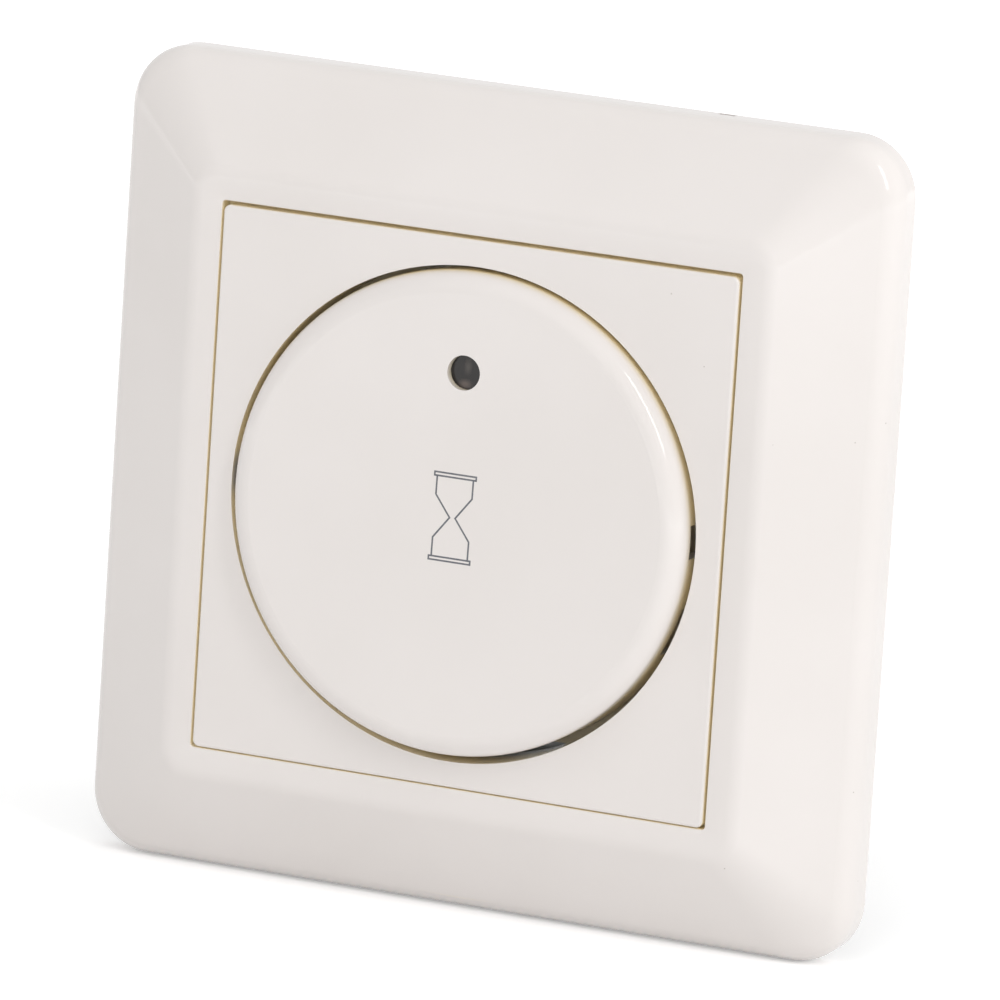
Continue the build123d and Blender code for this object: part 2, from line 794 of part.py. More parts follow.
def trimmer_rotor():
    low = board_front + rotor_seat + rotor_gap
    top = board_front + trimmer_height + rotor_proud
    rotor = rod(rotor_radius, low, top, trimmer_x, trimmer_y)
    cut = (top - rotor_slot_depth, top)
    rotor -= centred(trimmer_x, trimmer_y, rotor_slot_length, rotor_slot_width, cut)
    rotor -= centred(trimmer_x, trimmer_y, rotor_slot_width, rotor_slot_length / 2, cut)
    return rotor


relay_inner_half = relay_width / 2 - relay_wall
relay_inner_length = relay_length - 2 * relay_wall
relay_base_top = relay_standoff + relay_base_thickness
yoke_back = relay_y - relay_inner_length / 2 + relay_base_clearance + relay_yoke_end - relay_steel
core_start = yoke_back + relay_steel
pole_end = core_start + relay_core_length
armature_face = pole_end + relay_air_gap
coil_z = board_back - relay_coil_w
yoke_foot_w = relay_base_top + relay_yoke_foot
yoke_arm_w = relay_coil_w + relay_flange_radius + relay_base_clearance
armature_axis_w = yoke_arm_w + relay_steel / 2


def relay_base():
    width = 2 * (relay_inner_half - relay_base_clearance)
    length = relay_inner_length - 2 * relay_base_clearance
    base = centred(relay_x, relay_y, width, length, behind(relay_standoff, relay_base_top))
    pins = [rod(lead_radius, board_back - relay_standoff, board_front + lead_end, x, y) for x, y in relay_pins]
    return base + pins


def relay_cover():
    cover = centred(relay_x, relay_y, relay_width, relay_length, behind(0, relay_height))
    hollow = centred(
        relay_x, relay_y, 2 * relay_inner_half, relay_inner_length, behind(0, relay_height - relay_wall)
    )
    return cover - hollow


def relay_yoke():
    width = relay_yoke_width
    x = (relay_x - width / 2, relay_x + width / 2)
    arm_end = armature_face - relay_arm_gap
    yoke = box(x, (yoke_back, core_start), behind(yoke_foot_w, yoke_arm_w + relay_steel))
    yoke += box(x, (yoke_back, arm_end), behind(yoke_arm_w, yoke_arm_w + relay_steel))
    yoke += rod_along_y(relay_core_radius, core_start, pole_end - relay_pole, relay_x, coil_z)
    yoke += rod_along_y(relay_pole_radius, pole_end - relay_pole, pole_end, relay_x, coil_z)
    yoke += box(x, (yoke_back, core_start), behind(relay_base_top, yoke_foot_w))
    return yoke


def relay_bobbin():
    start = core_start + relay_bobbin_fit
    end = pole_end - relay_pole - relay_bobbin_fit
    bore = relay_core_radius + relay_bobbin_fit
    bobbin = rod_along_y(bore + relay_bobbin_wall, start, end, relay_x, coil_z)
    for low in (start, end - relay_flange):
        bobbin += rod_along_y(relay_flange_radius, low, low + relay_flange, relay_x, coil_z)
    return bobbin - rod_along_y(bore, start, end, relay_x, coil_z)


def relay_winding():
    start = core_start + relay_bobbin_fit + relay_flange + relay_winding_gap
    end = pole_end - relay_pole - relay_bobbin_fit - relay_flange - relay_winding_gap
    bore = relay_core_radius + relay_bobbin_fit + relay_bobbin_wall + relay_winding_gap
    winding = rod_along_y(relay_winding_radius, start, end, relay_x, coil_z)
    return winding - rod_along_y(bore, start, end, relay_x, coil_z)


def relay_armature_plate():
    width = relay_yoke_width
    x = (relay_x - width / 2, relay_x + width / 2)
    plate = box(x, (armature_face, armature_face + relay_armature), behind(relay_armature_foot, armature_axis_w))
    half = relay_armature / 2
    return plate + rod_along_x(half, x[0], x[1], armature_face + half, board_back - armature_axis_w)


def relay_leaf_spring():
    face = armature_face + relay_armature
    x = (relay_x - relay_leaf_width / 2, relay_x + relay_leaf_width / 2)
    top = relay_armature_foot + relay_leaf_top
    leaf = box(x, (face, face + relay_leaf), behind(relay_leaf_foot, top))
    return leaf + rod_along_y(relay_contact_radius, face - relay_contact, face, relay_x, board_back - relay_contact_w)


def relay_fixed_contact():
    face = armature_face + relay_armature - relay_contact - relay_contact_gap
    x = (relay_x - relay_post_width / 2, relay_x + relay_post_width / 2)
    post_top = relay_contact_w + relay_contact_radius
    back = face - relay_contact
    post = box(x, (back - relay_leaf, back), behind(relay_base_top, post_top))
    return post + rod_along_y(relay_contact_radius, back, face, relay_x, board_back - relay_contact_w)


def film_capacitor():
    block = centred(film_x, film_y, film_size[0], film_size[1], behind(0, film_size[2]))
    block = fillet(block.edges().filter_by(Axis.Z), film_round)
    return block + leads(film_leads)


def electrolytic_capacitor():
    can = rod(can_radius, board_back - can_height, board_back, can_x, can_y)
    groove_z = board_back - can_groove_height
    can -= Pos(can_x, can_y, groove_z) * Torus(can_radius, can_groove)
    return can + leads(can_leads)


def varistor():
    centre_z = board_back - varistor_lift - varistor_radius
    half = varistor_thickness / 2
    body = rod_along_y(varistor_radius, varistor_y - half, varistor_y + half, varistor_x, centre_z)
    body = fillet(body.edges().filter_by(GeomType.CIRCLE), half / 2)
    stubs = [rod(lead_radius, centre_z, board_front + lead_end, x, y) for x, y in varistor_leads]
    return body + stubs


def fuse_resistor():
    centre_z = board_back - fuse_lift - fuse_radius
    half = fuse_length / 2
    body = rod_along_y(fuse_radius, fuse_y - half, fuse_y + half, fuse_x, centre_z)
    body = fillet(body.edges().filter_by(GeomType.CIRCLE), fuse_lift)
    ends = [(x, y, board_front + lead_end) for x, y in fuse_leads]
    elbows = [(x, y, centre_z) for x, y in fuse_leads]
    path = FilletPolyline(ends[0], elbows[0], elbows[1], ends[1], radius=fuse_lead_bend)
    return body + sweep(Plane(origin=path @ 0, z_dir=path % 0) * Circle(lead_radius), path=path)


def flat_part(x, y, size):
    return centred(x, y, size[0], size[1], behind(0, size[2]))


def bridge_rectifier():
    body = flat_part(bridge_x, bridge_y, bridge_size)
    return body + feet(bridge_x, bridge_y, bridge_size[0], bridge_size[1] / 3, board_back - foot_height)


def microcontroller():
    body = flat_part(chip_x, chip_y, chip_size)
    for i in range(chip_legs):
        leg_x = chip_x + (i - (chip_legs - 1) / 2) * chip_leg_pitch
        length = chip_size[1] + 2 * chip_leg_reach
        body += centred(leg_x, chip_y, chip_leg_width, length, behind(0, chip_leg_height))
    return body


def chip_resistors():
    places = [(resistor_x, resistor_y + i * resistor_step) for i in range(resistors)]
    return Compound(children=[flat_part(x, y, resistor_size) for x, y in places])


def terminal_block():
    half = terminal_xs[-1] + cage_width / 2 + cage_clearance + terminal_wall
    cell_front = cage_front + cage_clearance
    x_range = (-half, half)
    y_range = (block_low, block_top)
    block = box(x_range, y_range, (block_back, board_back))
    block += box((-nose_half, nose_half), (-housing_half, block_low), (nose_back, board_back))
    hollow_x = (terminal_wall - half, half - terminal_wall)
    hollow_y = (block_low + terminal_wall, block_top - terminal_wall)
    block -= box(hollow_x, hollow_y, (cell_front + terminal_floor, board_back))
    cell_half = cage_width / 2 + cage_clearance
    channel = bar_thickness / 2 + bar_clearance
    for x in terminal_xs:
        cell_back = head_back + clamp_head
        block -= centred(x, terminal_y, 2 * cell_half, 2 * cell_reach, (cell_back, cell_front))
        block -= rod(clamp_head_radius + clamp_head_clearance, block_back, cell_back, x, terminal_y)
        block -= rod_along_y(wire_entry_radius, -housing_half, terminal_y - cell_reach, x, wire_z)
        slot_x = (x - bar_width / 2 - bar_clearance, x + bar_width / 2 + bar_clearance)
        block -= box(
            slot_x, (terminal_y, bar_leg_y + channel), (bar_back - bar_clearance, bar_front + bar_clearance)
        )
        block -= box(slot_x, (bar_leg_y - channel, bar_leg_y + channel), (bar_front, cell_front + terminal_floor))
    return block


def terminal_bars():
    bars = []
    for x in terminal_xs:
        wide = (x - bar_width / 2, x + bar_width / 2)
        leg = (bar_leg_y - bar_thickness / 2, bar_leg_y + bar_thickness / 2)
        start = terminal_y - cage_length / 2
        bar = box(wide, (start, leg[1]), (bar_back, bar_front))
        bar += box(wide, leg, (bar_front, board_back))
        bar += centred(x, bar_leg_y, bar_pin_width, bar_thickness, (board_back, board_front + lead_end))
        bars.append(bar)
    return Compound(children=bars)


def terminal_screw(x):
    screw = rod(clamp_head_radius, head_back, head_back + clamp_head, x, terminal_y)
    screw += rod(clamp_screw_radius, head_back + clamp_head, bar_back - clamp_tip_gap, x, terminal_y)
    cut = (head_back, head_back + clamp_slot_depth)
    return screw - centred(x, terminal_y, 2 * clamp_head_radius, clamp_slot_width, cut)


def terminal_cage(x):
    nut_back = bar_back - cage_bar_gap - cage_nut
    cage = centred(x, terminal_y, cage_width, cage_length, (nut_back, cage_front))
    inner = cage_width - 2 * cage_sheet
    cage -= centred(x, terminal_y, inner, cage_length, (nut_back + cage_nut, cage_front - cage_sheet))
    return cage - rod(clamp_screw_radius + clamp_thread_fit, nut_back, nut_back + cage_nut, x, terminal_y)


def stand_up(piece):
    return Rot(90, 0, 0) * piece


pieces = {
    "cover_frame": cover_frame(),
    "centre_plate": centre_plate(),
    "push_cap": push_cap(),
    "window_lens": window_lens(),
    "hourglass_mark": hourglass_mark(),
    "cap_hinge_pin": cap_hinge_pin(),
    "return_spring_left": return_spring(-spring_x),
    "return_spring_right": return_spring(spring_x),
    "insert_front": insert_front(),
    "support_plate": support_plate(),
    "rear_housing": rear_housing(),
    "housing_screws": housing_screws(),
    "screw_sleeves": screw_sleeves(),
    "circuit_board": circuit_board(),
    "switch_body": switch_body_piece(),
    "switch_dome": switch_dome(),
    "switch_plunger": switch_plunger(),
    "indicator_lamp": indicator_lamp(),
    "light_guide": light_guide(),
    "trimmer_body": trimmer_body(),
    "trimmer_rotor": trimmer_rotor(),
    "relay_base": relay_base(),
    "relay_cover": relay_cover(),
    "relay_yoke": relay_yoke(),
    "relay_bobbin": relay_bobbin(),
    "relay_winding": relay_winding(),
    "relay_armature": relay_armature_plate(),
    "relay_leaf_spring": relay_leaf_spring(),
    "relay_fixed_contact": relay_fixed_contact(),
    "film_capacitor": film_capacitor(),
    "electrolytic_capacitor": electrolytic_capacitor(),
    "varistor": varistor(),
    "fuse_resistor": fuse_resistor(),
    "bridge_rectifier": bridge_rectifier(),
    "microcontroller": microcontroller(),
    "chip_resistors": chip_resistors(),
    "terminal_block": terminal_block(),
    "terminal_bars": terminal_bars(),
}
for number, place in enumerate(terminal_xs, start=1):
    pieces[f"terminal_screw_{number}"] = terminal_screw(place)
    pieces[f"terminal_cage_{number}"] = terminal_cage(place)

os.makedirs("parts", exist_ok=True)
for name, piece in pieces.items():
    export_step(stand_up(piece), f"parts/{name}.step")
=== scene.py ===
import math

import bmesh
import bpy
from mathutils import Matrix, Vector


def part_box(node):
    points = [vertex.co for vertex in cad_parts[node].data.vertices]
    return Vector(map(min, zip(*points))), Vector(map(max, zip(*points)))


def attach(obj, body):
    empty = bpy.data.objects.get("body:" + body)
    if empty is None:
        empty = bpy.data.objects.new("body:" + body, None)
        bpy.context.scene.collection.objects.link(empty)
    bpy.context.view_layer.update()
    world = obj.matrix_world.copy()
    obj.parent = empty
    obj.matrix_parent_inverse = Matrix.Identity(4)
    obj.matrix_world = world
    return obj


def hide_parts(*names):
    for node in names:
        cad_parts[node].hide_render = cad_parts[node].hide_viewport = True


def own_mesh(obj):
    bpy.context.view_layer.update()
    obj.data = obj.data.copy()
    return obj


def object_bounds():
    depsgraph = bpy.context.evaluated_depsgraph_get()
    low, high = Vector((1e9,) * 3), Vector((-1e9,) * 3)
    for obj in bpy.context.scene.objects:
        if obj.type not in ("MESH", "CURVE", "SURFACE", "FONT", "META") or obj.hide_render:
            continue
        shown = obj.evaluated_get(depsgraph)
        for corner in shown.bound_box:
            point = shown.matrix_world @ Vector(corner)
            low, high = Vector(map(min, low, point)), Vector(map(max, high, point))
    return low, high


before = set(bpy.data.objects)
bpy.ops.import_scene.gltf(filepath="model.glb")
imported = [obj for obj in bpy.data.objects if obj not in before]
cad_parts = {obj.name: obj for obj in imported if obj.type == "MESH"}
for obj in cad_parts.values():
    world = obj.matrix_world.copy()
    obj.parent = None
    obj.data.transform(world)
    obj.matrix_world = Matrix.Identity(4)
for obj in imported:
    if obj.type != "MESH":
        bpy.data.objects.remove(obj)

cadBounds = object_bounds()
print("frame loaded:", len(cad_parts), "pieces")

# Settings are in metres, or in millimetres where the comment over them says so
millimetre = 0.001


def metres(lengths):
    return tuple(length * millimetre for length in lengths)


# The photograph's view: a long lens, a little from the right and from above, with a slight roll.
photoView = {
    "lens": 400.0,
    "sensor": 36.0,
    "azimuth": 22.5,
    "elevation": 12.08,
    "roll": 3.74,
    "distance": 1.1108,
    "target": (-0.00007, 0.0, -0.00091),
    "shiftX": -0.0014,
    "shiftY": 0.0054,
}


def addCamera(settings):
    azimuth = math.radians(settings["azimuth"])
    elevation = math.radians(settings["elevation"])
    roll = math.radians(settings["roll"])
    level = Vector((math.cos(azimuth), math.sin(azimuth), 0.0))
    flatness = math.cos(elevation)
    back = Vector((math.sin(azimuth) * flatness, -math.cos(azimuth) * flatness, math.sin(elevation)))
    above = back.cross(level)
    right = level * math.cos(roll) + above * math.sin(roll)
    up = back.cross(right)
    place = Vector(settings["target"]) + back * settings["distance"]
    lens = bpy.data.cameras.new("photoCamera")
    lens.lens = settings["lens"]
    lens.sensor_width = settings["sensor"]
    lens.shift_x = settings["shiftX"]
    lens.shift_y = settings["shiftY"]
    lens.clip_start = 0.01
    camera = bpy.data.objects.new("photoCamera", lens)
    turn = Matrix((right, up, back)).transposed().to_4x4()
    camera.matrix_world = Matrix.Translation(place) @ turn
    bpy.context.scene.collection.objects.link(camera)
    bpy.context.scene.camera = camera


# Node helpers shared by every material and every geometry tree
def addNode(tree, kind, inputs=None, **settings):
    node = tree.nodes.new(kind)
    for name, value in settings.items():
        setattr(node, name, value)
    for name, value in (inputs or {}).items():
        node.inputs[name].default_value = value
    return node


def feed(tree, socket, value):
    # Sets a socket to a value, or links it where the value is another node's output.
    if isinstance(value, bpy.types.NodeSocket):
        tree.links.new(value, socket)
    else:
        socket.default_value = value


def calc(tree, operation, *values):
    node = addNode(tree, "ShaderNodeMath", operation=operation)
    for socket, value in zip(node.inputs, values):
        feed(tree, socket, value)
    return node.outputs["Value"]


def plus(tree, first, second):
    return calc(tree, "ADD", first, second)


def minus(tree, first, second):
    return calc(tree, "SUBTRACT", first, second)


def times(tree, first, second):
    return calc(tree, "MULTIPLY", first, second)


def over(tree, first, second):
    return calc(tree, "DIVIDE", first, second)


def spot(tree, x, y, z):
    node = addNode(tree, "ShaderNodeCombineXYZ")
    for socket, value in zip(node.inputs, (x, y, z)):
        feed(tree, socket, value)
    return node.outputs["Vector"]


def startMaterial(name):
    material = bpy.data.materials.new(name)
    material.use_nodes = True
    tree = material.node_tree
    tree.nodes.clear()
    output = addNode(tree, "ShaderNodeOutputMaterial")
    shader = addNode(tree, "ShaderNodeBsdfPrincipled")
    tree.links.new(shader.outputs["BSDF"], output.inputs["Surface"])
    place = addNode(tree, "ShaderNodeTexCoord")
    return material, tree, shader, place.outputs["Object"]


def stretched(tree, place, scale):
    mapping = addNode(tree, "ShaderNodeMapping", {"Scale": scale})
    tree.links.new(place, mapping.inputs["Vector"])
    return mapping.outputs["Vector"]


def noise(tree, place, scale, detail=3.0, roughness=0.5):
    texture = addNode(tree, "ShaderNodeTexNoise", {"Scale": scale, "Detail": detail, "Roughness": roughness})
    tree.links.new(place, texture.inputs["Vector"])
    return texture.outputs["Fac"]


def remap(tree, source, low, high, toLow, toHigh):
    node = addNode(
        tree, "ShaderNodeMapRange", {"From Min": low, "From Max": high, "To Min": toLow, "To Max": toHigh}
    )
    tree.links.new(source, node.inputs["Value"])
    return node.outputs["Result"]


def mixColours(tree, factor, first, second):
    node = addNode(tree, "ShaderNodeMix", data_type="RGBA")
    tree.links.new(factor, node.inputs["Factor"])
    for socket, value in ((node.inputs["A"], first), (node.inputs["B"], second)):
        if isinstance(value, tuple):
            socket.default_value = (*value, 1.0)
        else:
            tree.links.new(value, socket)
    return node.outputs["Result"]


def addBump(tree, shader, height, distance, strength=1.0):
    bump = addNode(tree, "ShaderNodeBump", {"Strength": strength, "Distance": distance})
    tree.links.new(height, bump.inputs["Height"])
    tree.links.new(bump.outputs["Normal"], shader.inputs["Normal"])


def specks(tree, place, spacing, radius):
    # Rare round specks: where the surface passes close to one of a grid's scattered points.
    cells = addNode(tree, "ShaderNodeTexVoronoi", {"Scale": 1.0 / spacing, "Randomness": 1.0})
    tree.links.new(place, cells.inputs["Vector"])
    return remap(tree, cells.outputs["Distance"], 0.6 * radius / spacing, radius / spacing, 1.0, 0.0)


# Moulded plastics: what they share, in metres or as texture scales, and how they differ
mouldedGrain = {"drift": 45.0, "wear": 600.0, "speckSpacing": 0.004, "speckRadius": 0.00011, "refraction": 1.52}
mouldedLooks = {
    "cream_moulding": {
        "colour": (0.850, 0.740, 0.530), "shade": (0.810, 0.700, 0.490), "speck": (0.50, 0.42, 0.30),
        "rough": (0.35, 0.48), "peel": 0.00001, "peelScale": 1500.0,
    },
    "grey_moulding": {
        "colour": (0.115, 0.120, 0.125), "shade": (0.090, 0.094, 0.098), "speck": (0.17, 0.17, 0.17),
        "rough": (0.42, 0.55), "peel": 0.00003, "peelScale": 1400.0,
    },
    "black_moulding": {
        "colour": (0.018, 0.018, 0.020), "shade": (0.012, 0.012, 0.013), "speck": (0.05, 0.05, 0.05),
        "rough": (0.35, 0.50), "peel": 0.00002, "peelScale": 1800.0,
    },
    "trimmer_blue": {
        "colour": (0.030, 0.110, 0.400), "shade": (0.022, 0.085, 0.330), "speck": (0.10, 0.20, 0.45),
        "rough": (0.30, 0.42), "peel": 0.00001, "peelScale": 1500.0,
    },
    "ivory_nylon": {
        "colour": (0.640, 0.590, 0.480), "shade": (0.600, 0.550, 0.440), "speck": (0.50, 0.44, 0.34),
        "rough": (0.40, 0.55), "peel": 0.00001, "peelScale": 1500.0,
    },
    "film_yellow": {
        "colour": (0.640, 0.420, 0.070), "shade": (0.580, 0.370, 0.055), "speck": (0.40, 0.26, 0.05),
        "rough": (0.30, 0.40), "peel": 0.00001, "peelScale": 1300.0,
    },
}


def mouldedPlastic(name, look):
    material, tree, shader, place = startMaterial(name)
    drift = remap(tree, noise(tree, place, mouldedGrain["drift"], 2.0), 0.35, 0.65, 0.0, 1.0)
    body = mixColours(tree, drift, look["colour"], look["shade"])
    marks = specks(tree, place, mouldedGrain["speckSpacing"], mouldedGrain["speckRadius"])
    tree.links.new(mixColours(tree, marks, body, look["speck"]), shader.inputs["Base Color"])
    wear = noise(tree, stretched(tree, place, (1.0, 1.0, 0.25)), mouldedGrain["wear"], 4.0, 0.65)
    tree.links.new(remap(tree, wear, 0.3, 0.7, *look["rough"]), shader.inputs["Roughness"])
    addBump(tree, shader, noise(tree, place, look["peelScale"], 2.0), look["peel"])
    shader.inputs["IOR"].default_value = mouldedGrain["refraction"]
    return material


# The glossy ivory of the outer shells, with light handling marks and painted warm light in narrow gaps
ivoryLook = {
    "colour": (0.775, 0.735, 0.712),
    "shade": (0.755, 0.715, 0.690),
    "speck": (0.50, 0.46, 0.42),
    "speckSpacing": 0.005,
    "speckRadius": 0.00009,
    "drift": 45.0,
    "haze": 130.0,
    "strokes": 2600.0,
    "scratch": 0.035,
    "rough": (0.07, 0.11),
    "sinkScale": 210.0,
    "sinkDepth": 0.000010,
    "refraction": 1.52,
    "paintedGapLightColour": (0.98, 0.86, 0.60),
    "paintedGapLightReach": 0.0016,
    "paintedGapLightOpen": (0.25, 0.85),
    "paintedGapLightZone": 0.0405,
    "paintedGapLightSamples": 6,
}


def paintedGapLightMask(tree, place, look):
    # Mask of the painted warm gap light: 1 deep in a gap and 0 in the open, only within a radius that leaves
    # out the edge near the floor.
    nearness = addNode(
        tree, "ShaderNodeAmbientOcclusion", {"Distance": look["paintedGapLightReach"]}, samples=look["paintedGapLightSamples"]
    )
    fromAxis = addNode(tree, "ShaderNodeVectorMath", operation="LENGTH")
    tree.links.new(stretched(tree, place, (1.0, 0.0, 1.0)), fromAxis.inputs[0])
    inside = calc(tree, "LESS_THAN", fromAxis.outputs["Value"], look["paintedGapLightZone"])
    return times(tree, remap(tree, nearness.outputs["AO"], *look["paintedGapLightOpen"], 1.0, 0.0), inside)


def glossyIvory(name, look):
    material, tree, shader, place = startMaterial(name)
    drift = remap(tree, noise(tree, place, look["drift"], 2.0), 0.35, 0.65, 0.0, 1.0)
    body = mixColours(tree, drift, look["colour"], look["shade"])
    marks = specks(tree, place, look["speckSpacing"], look["speckRadius"])
    marked = mixColours(tree, marks, body, look["speck"])
    # Painted warm light: the base colour turns warm deep in narrow gaps.
    paintedGapLit = mixColours(tree, paintedGapLightMask(tree, place, look), marked, look["paintedGapLightColour"])
    tree.links.new(paintedGapLit, shader.inputs["Base Color"])
    # Fine wiping scratches and a faint haze raise the roughness here and there.
    haze = remap(tree, noise(tree, place, look["haze"], 4.0, 0.6), 0.3, 0.7, *look["rough"])
    strokes = noise(tree, stretched(tree, place, (1.0, 1.0, 0.05)), look["strokes"], 1.0)
    stroke = remap(tree, strokes, 0.70, 0.78, 0.0, look["scratch"])
    tree.links.new(plus(tree, haze, stroke), shader.inputs["Roughness"])
    addBump(tree, shader, noise(tree, place, look["sinkScale"], 2.0), look["sinkDepth"])
    shader.inputs["IOR"].default_value = look["refraction"]
    return material


# Bare and plated metals
metalGrain = {"patches": 260.0, "grain": 3200.0, "depth": 0.000006}
metalLooks = {
    "bright_steel": {"colour": (0.62, 0.61, 0.59), "shade": (0.50, 0.49, 0.47), "rough": (0.20, 0.36)},
    "zinc_plate": {"colour": (0.56, 0.57, 0.57), "shade": (0.46, 0.47, 0.45), "rough": (0.28, 0.46)},
    "can_aluminium": {"colour": (0.70, 0.70, 0.71), "shade": (0.60, 0.60, 0.61), "rough": (0.22, 0.34)},
    "brass": {"colour": (0.66, 0.46, 0.20), "shade": (0.52, 0.35, 0.15), "rough": (0.24, 0.40)},
}


def platedMetal(name, look):
    material, tree, shader, place = startMaterial(name)
    patches = noise(tree, place, metalGrain["patches"], 5.0, 0.6)
    tone = mixColours(tree, remap(tree, patches, 0.35, 0.65, 0.0, 1.0), look["colour"], look["shade"])
    tree.links.new(tone, shader.inputs["Base Color"])
    grain = noise(tree, stretched(tree, place, (1.0, 1.0, 0.06)), metalGrain["grain"], 3.0, 0.6)
    tree.links.new(remap(tree, grain, 0.3, 0.7, *look["rough"]), shader.inputs["Roughness"])
    addBump(tree, shader, grain, metalGrain["depth"])
    shader.inputs["Metallic"].default_value = 1.0
    return material


# Clear and tinted plastics
clearGrain = {"flow": 900.0, "haze": 2500.0, "refraction": 1.49}
clearLooks = {
    "lamp_red": {"colour": (0.62, 0.03, 0.022), "shade": (0.48, 0.02, 0.016), "through": 0.55, "rough": 0.25},
    "clear_guide": {"colour": (0.88, 0.90, 0.90), "shade": (0.80, 0.83, 0.83), "through": 0.92, "rough": 0.08},
}


def clearPlastic(name, look):
    material, tree, shader, place = startMaterial(name)
    flow = remap(tree, noise(tree, place, clearGrain["flow"], 2.0), 0.3, 0.7, 0.0, 1.0)
    tree.links.new(mixColours(tree, flow, look["colour"], look["shade"]), shader.inputs["Base Color"])
    cloud = noise(tree, place, clearGrain["haze"], 2.0)
    haze = remap(tree, cloud, 0.3, 0.7, 0.8 * look["rough"], 1.2 * look["rough"])
    tree.links.new(haze, shader.inputs["Roughness"])
    shader.inputs["Transmission Weight"].default_value = look["through"]
    shader.inputs["IOR"].default_value = clearGrain["refraction"]
    return material


# The smoked window: near black, with a painted pale glow over the light guide and a painted warm glow at its
# foot
windowLook = {
    "colour": (0.014, 0.012, 0.011),
    "rough": 0.12,
    "haze": 2500.0,
    "ripple": 700.0,
    "rippleDepth": 0.00002,
    "refraction": 1.49,
    "paintedGlows": (
        {"across": 0.0001, "up": 0.0006, "half": (0.0005, 0.0010), "colour": (0.060, 0.052, 0.046)},
        {"across": -0.0001, "up": -0.0012, "half": (0.0009, 0.0006), "colour": (0.100, 0.075, 0.064)},
    ),
}


def smokedWindow(name, look):
    material, tree, shader, place = startMaterial(name)
    lowest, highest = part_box("window_lens")
    middle = (lowest + highest) / 2
    tone = look["colour"]
    # Each painted glow lightens the window's colour round its own centre.
    for glow in look["paintedGlows"]:
        wide, high = glow["half"]
        centre = (glow["across"] + middle.x, middle.y, glow["up"] + middle.z)
        mapping = addNode(
            tree, "ShaderNodeMapping", {"Location": centre, "Scale": (wide, 1.0, high)}, vector_type="TEXTURE"
        )
        tree.links.new(place, mapping.inputs["Vector"])
        fade = addNode(tree, "ShaderNodeTexGradient", gradient_type="SPHERICAL")
        tree.links.new(mapping.outputs["Vector"], fade.inputs["Vector"])
        tone = mixColours(tree, remap(tree, fade.outputs["Fac"], 0.0, 0.8, 0.0, 1.0), tone, glow["colour"])
    tree.links.new(tone, shader.inputs["Base Color"])
    cloud = noise(tree, place, look["haze"], 2.0)
    haze = remap(tree, cloud, 0.3, 0.7, 0.8 * look["rough"], 1.4 * look["rough"])
    tree.links.new(haze, shader.inputs["Roughness"])
    addBump(tree, shader, noise(tree, place, look["ripple"], 2.0), look["rippleDepth"])
    shader.inputs["IOR"].default_value = look["refraction"]
    return material


# The hourglass's ink
inkLook = {"colour": (0.105, 0.110, 0.125), "shade": (0.165, 0.170, 0.185), "patches": 3000.0, "rough": 0.45}


def greyInk(name, look):
    material, tree, shader, place = startMaterial(name)
    patches = remap(tree, noise(tree, place, look["patches"], 3.0), 0.3, 0.7, 0.0, 1.0)
    tree.links.new(mixColours(tree, patches, look["colour"], look["shade"]), shader.inputs["Base Color"])
    shader.inputs["Roughness"].default_value = look["rough"]
    return material


# The board's green mask over its copper tracks
boardLook = {
    "colour": (0.010, 0.085, 0.030), "shade": (0.014, 0.110, 0.040), "track": (0.030, 0.190, 0.060),
    "tracks": 520.0, "weave": 1500.0, "rough": 0.32, "depth": 0.00003,
}


def solderMask(name, look):
    material, tree, shader, place = startMaterial(name)
    tracks = addNode(
        tree, "ShaderNodeTexVoronoi", {"Scale": look["tracks"]},
        distance="MANHATTAN", feature="DISTANCE_TO_EDGE",
    )
    tree.links.new(place, tracks.inputs["Vector"])
    copper = remap(tree, tracks.outputs["Distance"], 0.05, 0.08, 1.0, 0.0)
    mask = mixColours(tree, noise(tree, place, look["weave"], 2.0), look["colour"], look["shade"])
    tree.links.new(mixColours(tree, copper, mask, look["track"]), shader.inputs["Base Color"])
    shader.inputs["Roughness"].default_value = look["rough"]
    addBump(tree, shader, copper, look["depth"])
    return material


# The winding's enamelled wire, with painted shade between its turns and a painted highlight on their crests
enamelLook = {
    "colour": (0.22, 0.060, 0.020), "paintedCrestHighlight": (0.62, 0.24, 0.09), "turns": 900.0, "waver": 0.4,
    "metal": 0.8, "rough": 0.28, "depth": 0.00005,
}


def enamelledCopper(name, look):
    material, tree, shader, place = startMaterial(name)
    turns = addNode(
        tree, "ShaderNodeTexWave", {"Scale": look["turns"], "Distortion": look["waver"]},
        wave_type="BANDS", bands_direction="Z",
    )
    tree.links.new(place, turns.inputs["Vector"])
    # Painted light: bands that are dark between the turns and bright on their crests.
    tone = mixColours(tree, turns.outputs["Fac"], look["colour"], look["paintedCrestHighlight"])
    tree.links.new(tone, shader.inputs["Base Color"])
    shader.inputs["Metallic"].default_value = look["metal"]
    shader.inputs["Roughness"].default_value = look["rough"]
    addBump(tree, shader, turns.outputs["Fac"], look["depth"])
    return material


def makeFinishes():
    finishes = {name: mouldedPlastic(name, look) for name, look in mouldedLooks.items()}
    finishes.update({name: platedMetal(name, look) for name, look in metalLooks.items()})
    finishes.update({name: clearPlastic(name, look) for name, look in clearLooks.items()})
    finishes["ivory_gloss"] = glossyIvory("ivory_gloss", ivoryLook)
    finishes["smoked_window"] = smokedWindow("smoked_window", windowLook)
    finishes["grey_ink"] = greyInk("grey_ink", inkLook)
    finishes["board_green"] = solderMask("board_green", boardLook)
    finishes["copper_wire"] = enamelledCopper("copper_wire", enamelLook)
    return finishes


def dressNodes(finishes):
    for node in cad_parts.values():
        for slot in node.material_slots:
            plainName = slot.material.name.split(".")[0]
            slot.material = finishes[plainName]


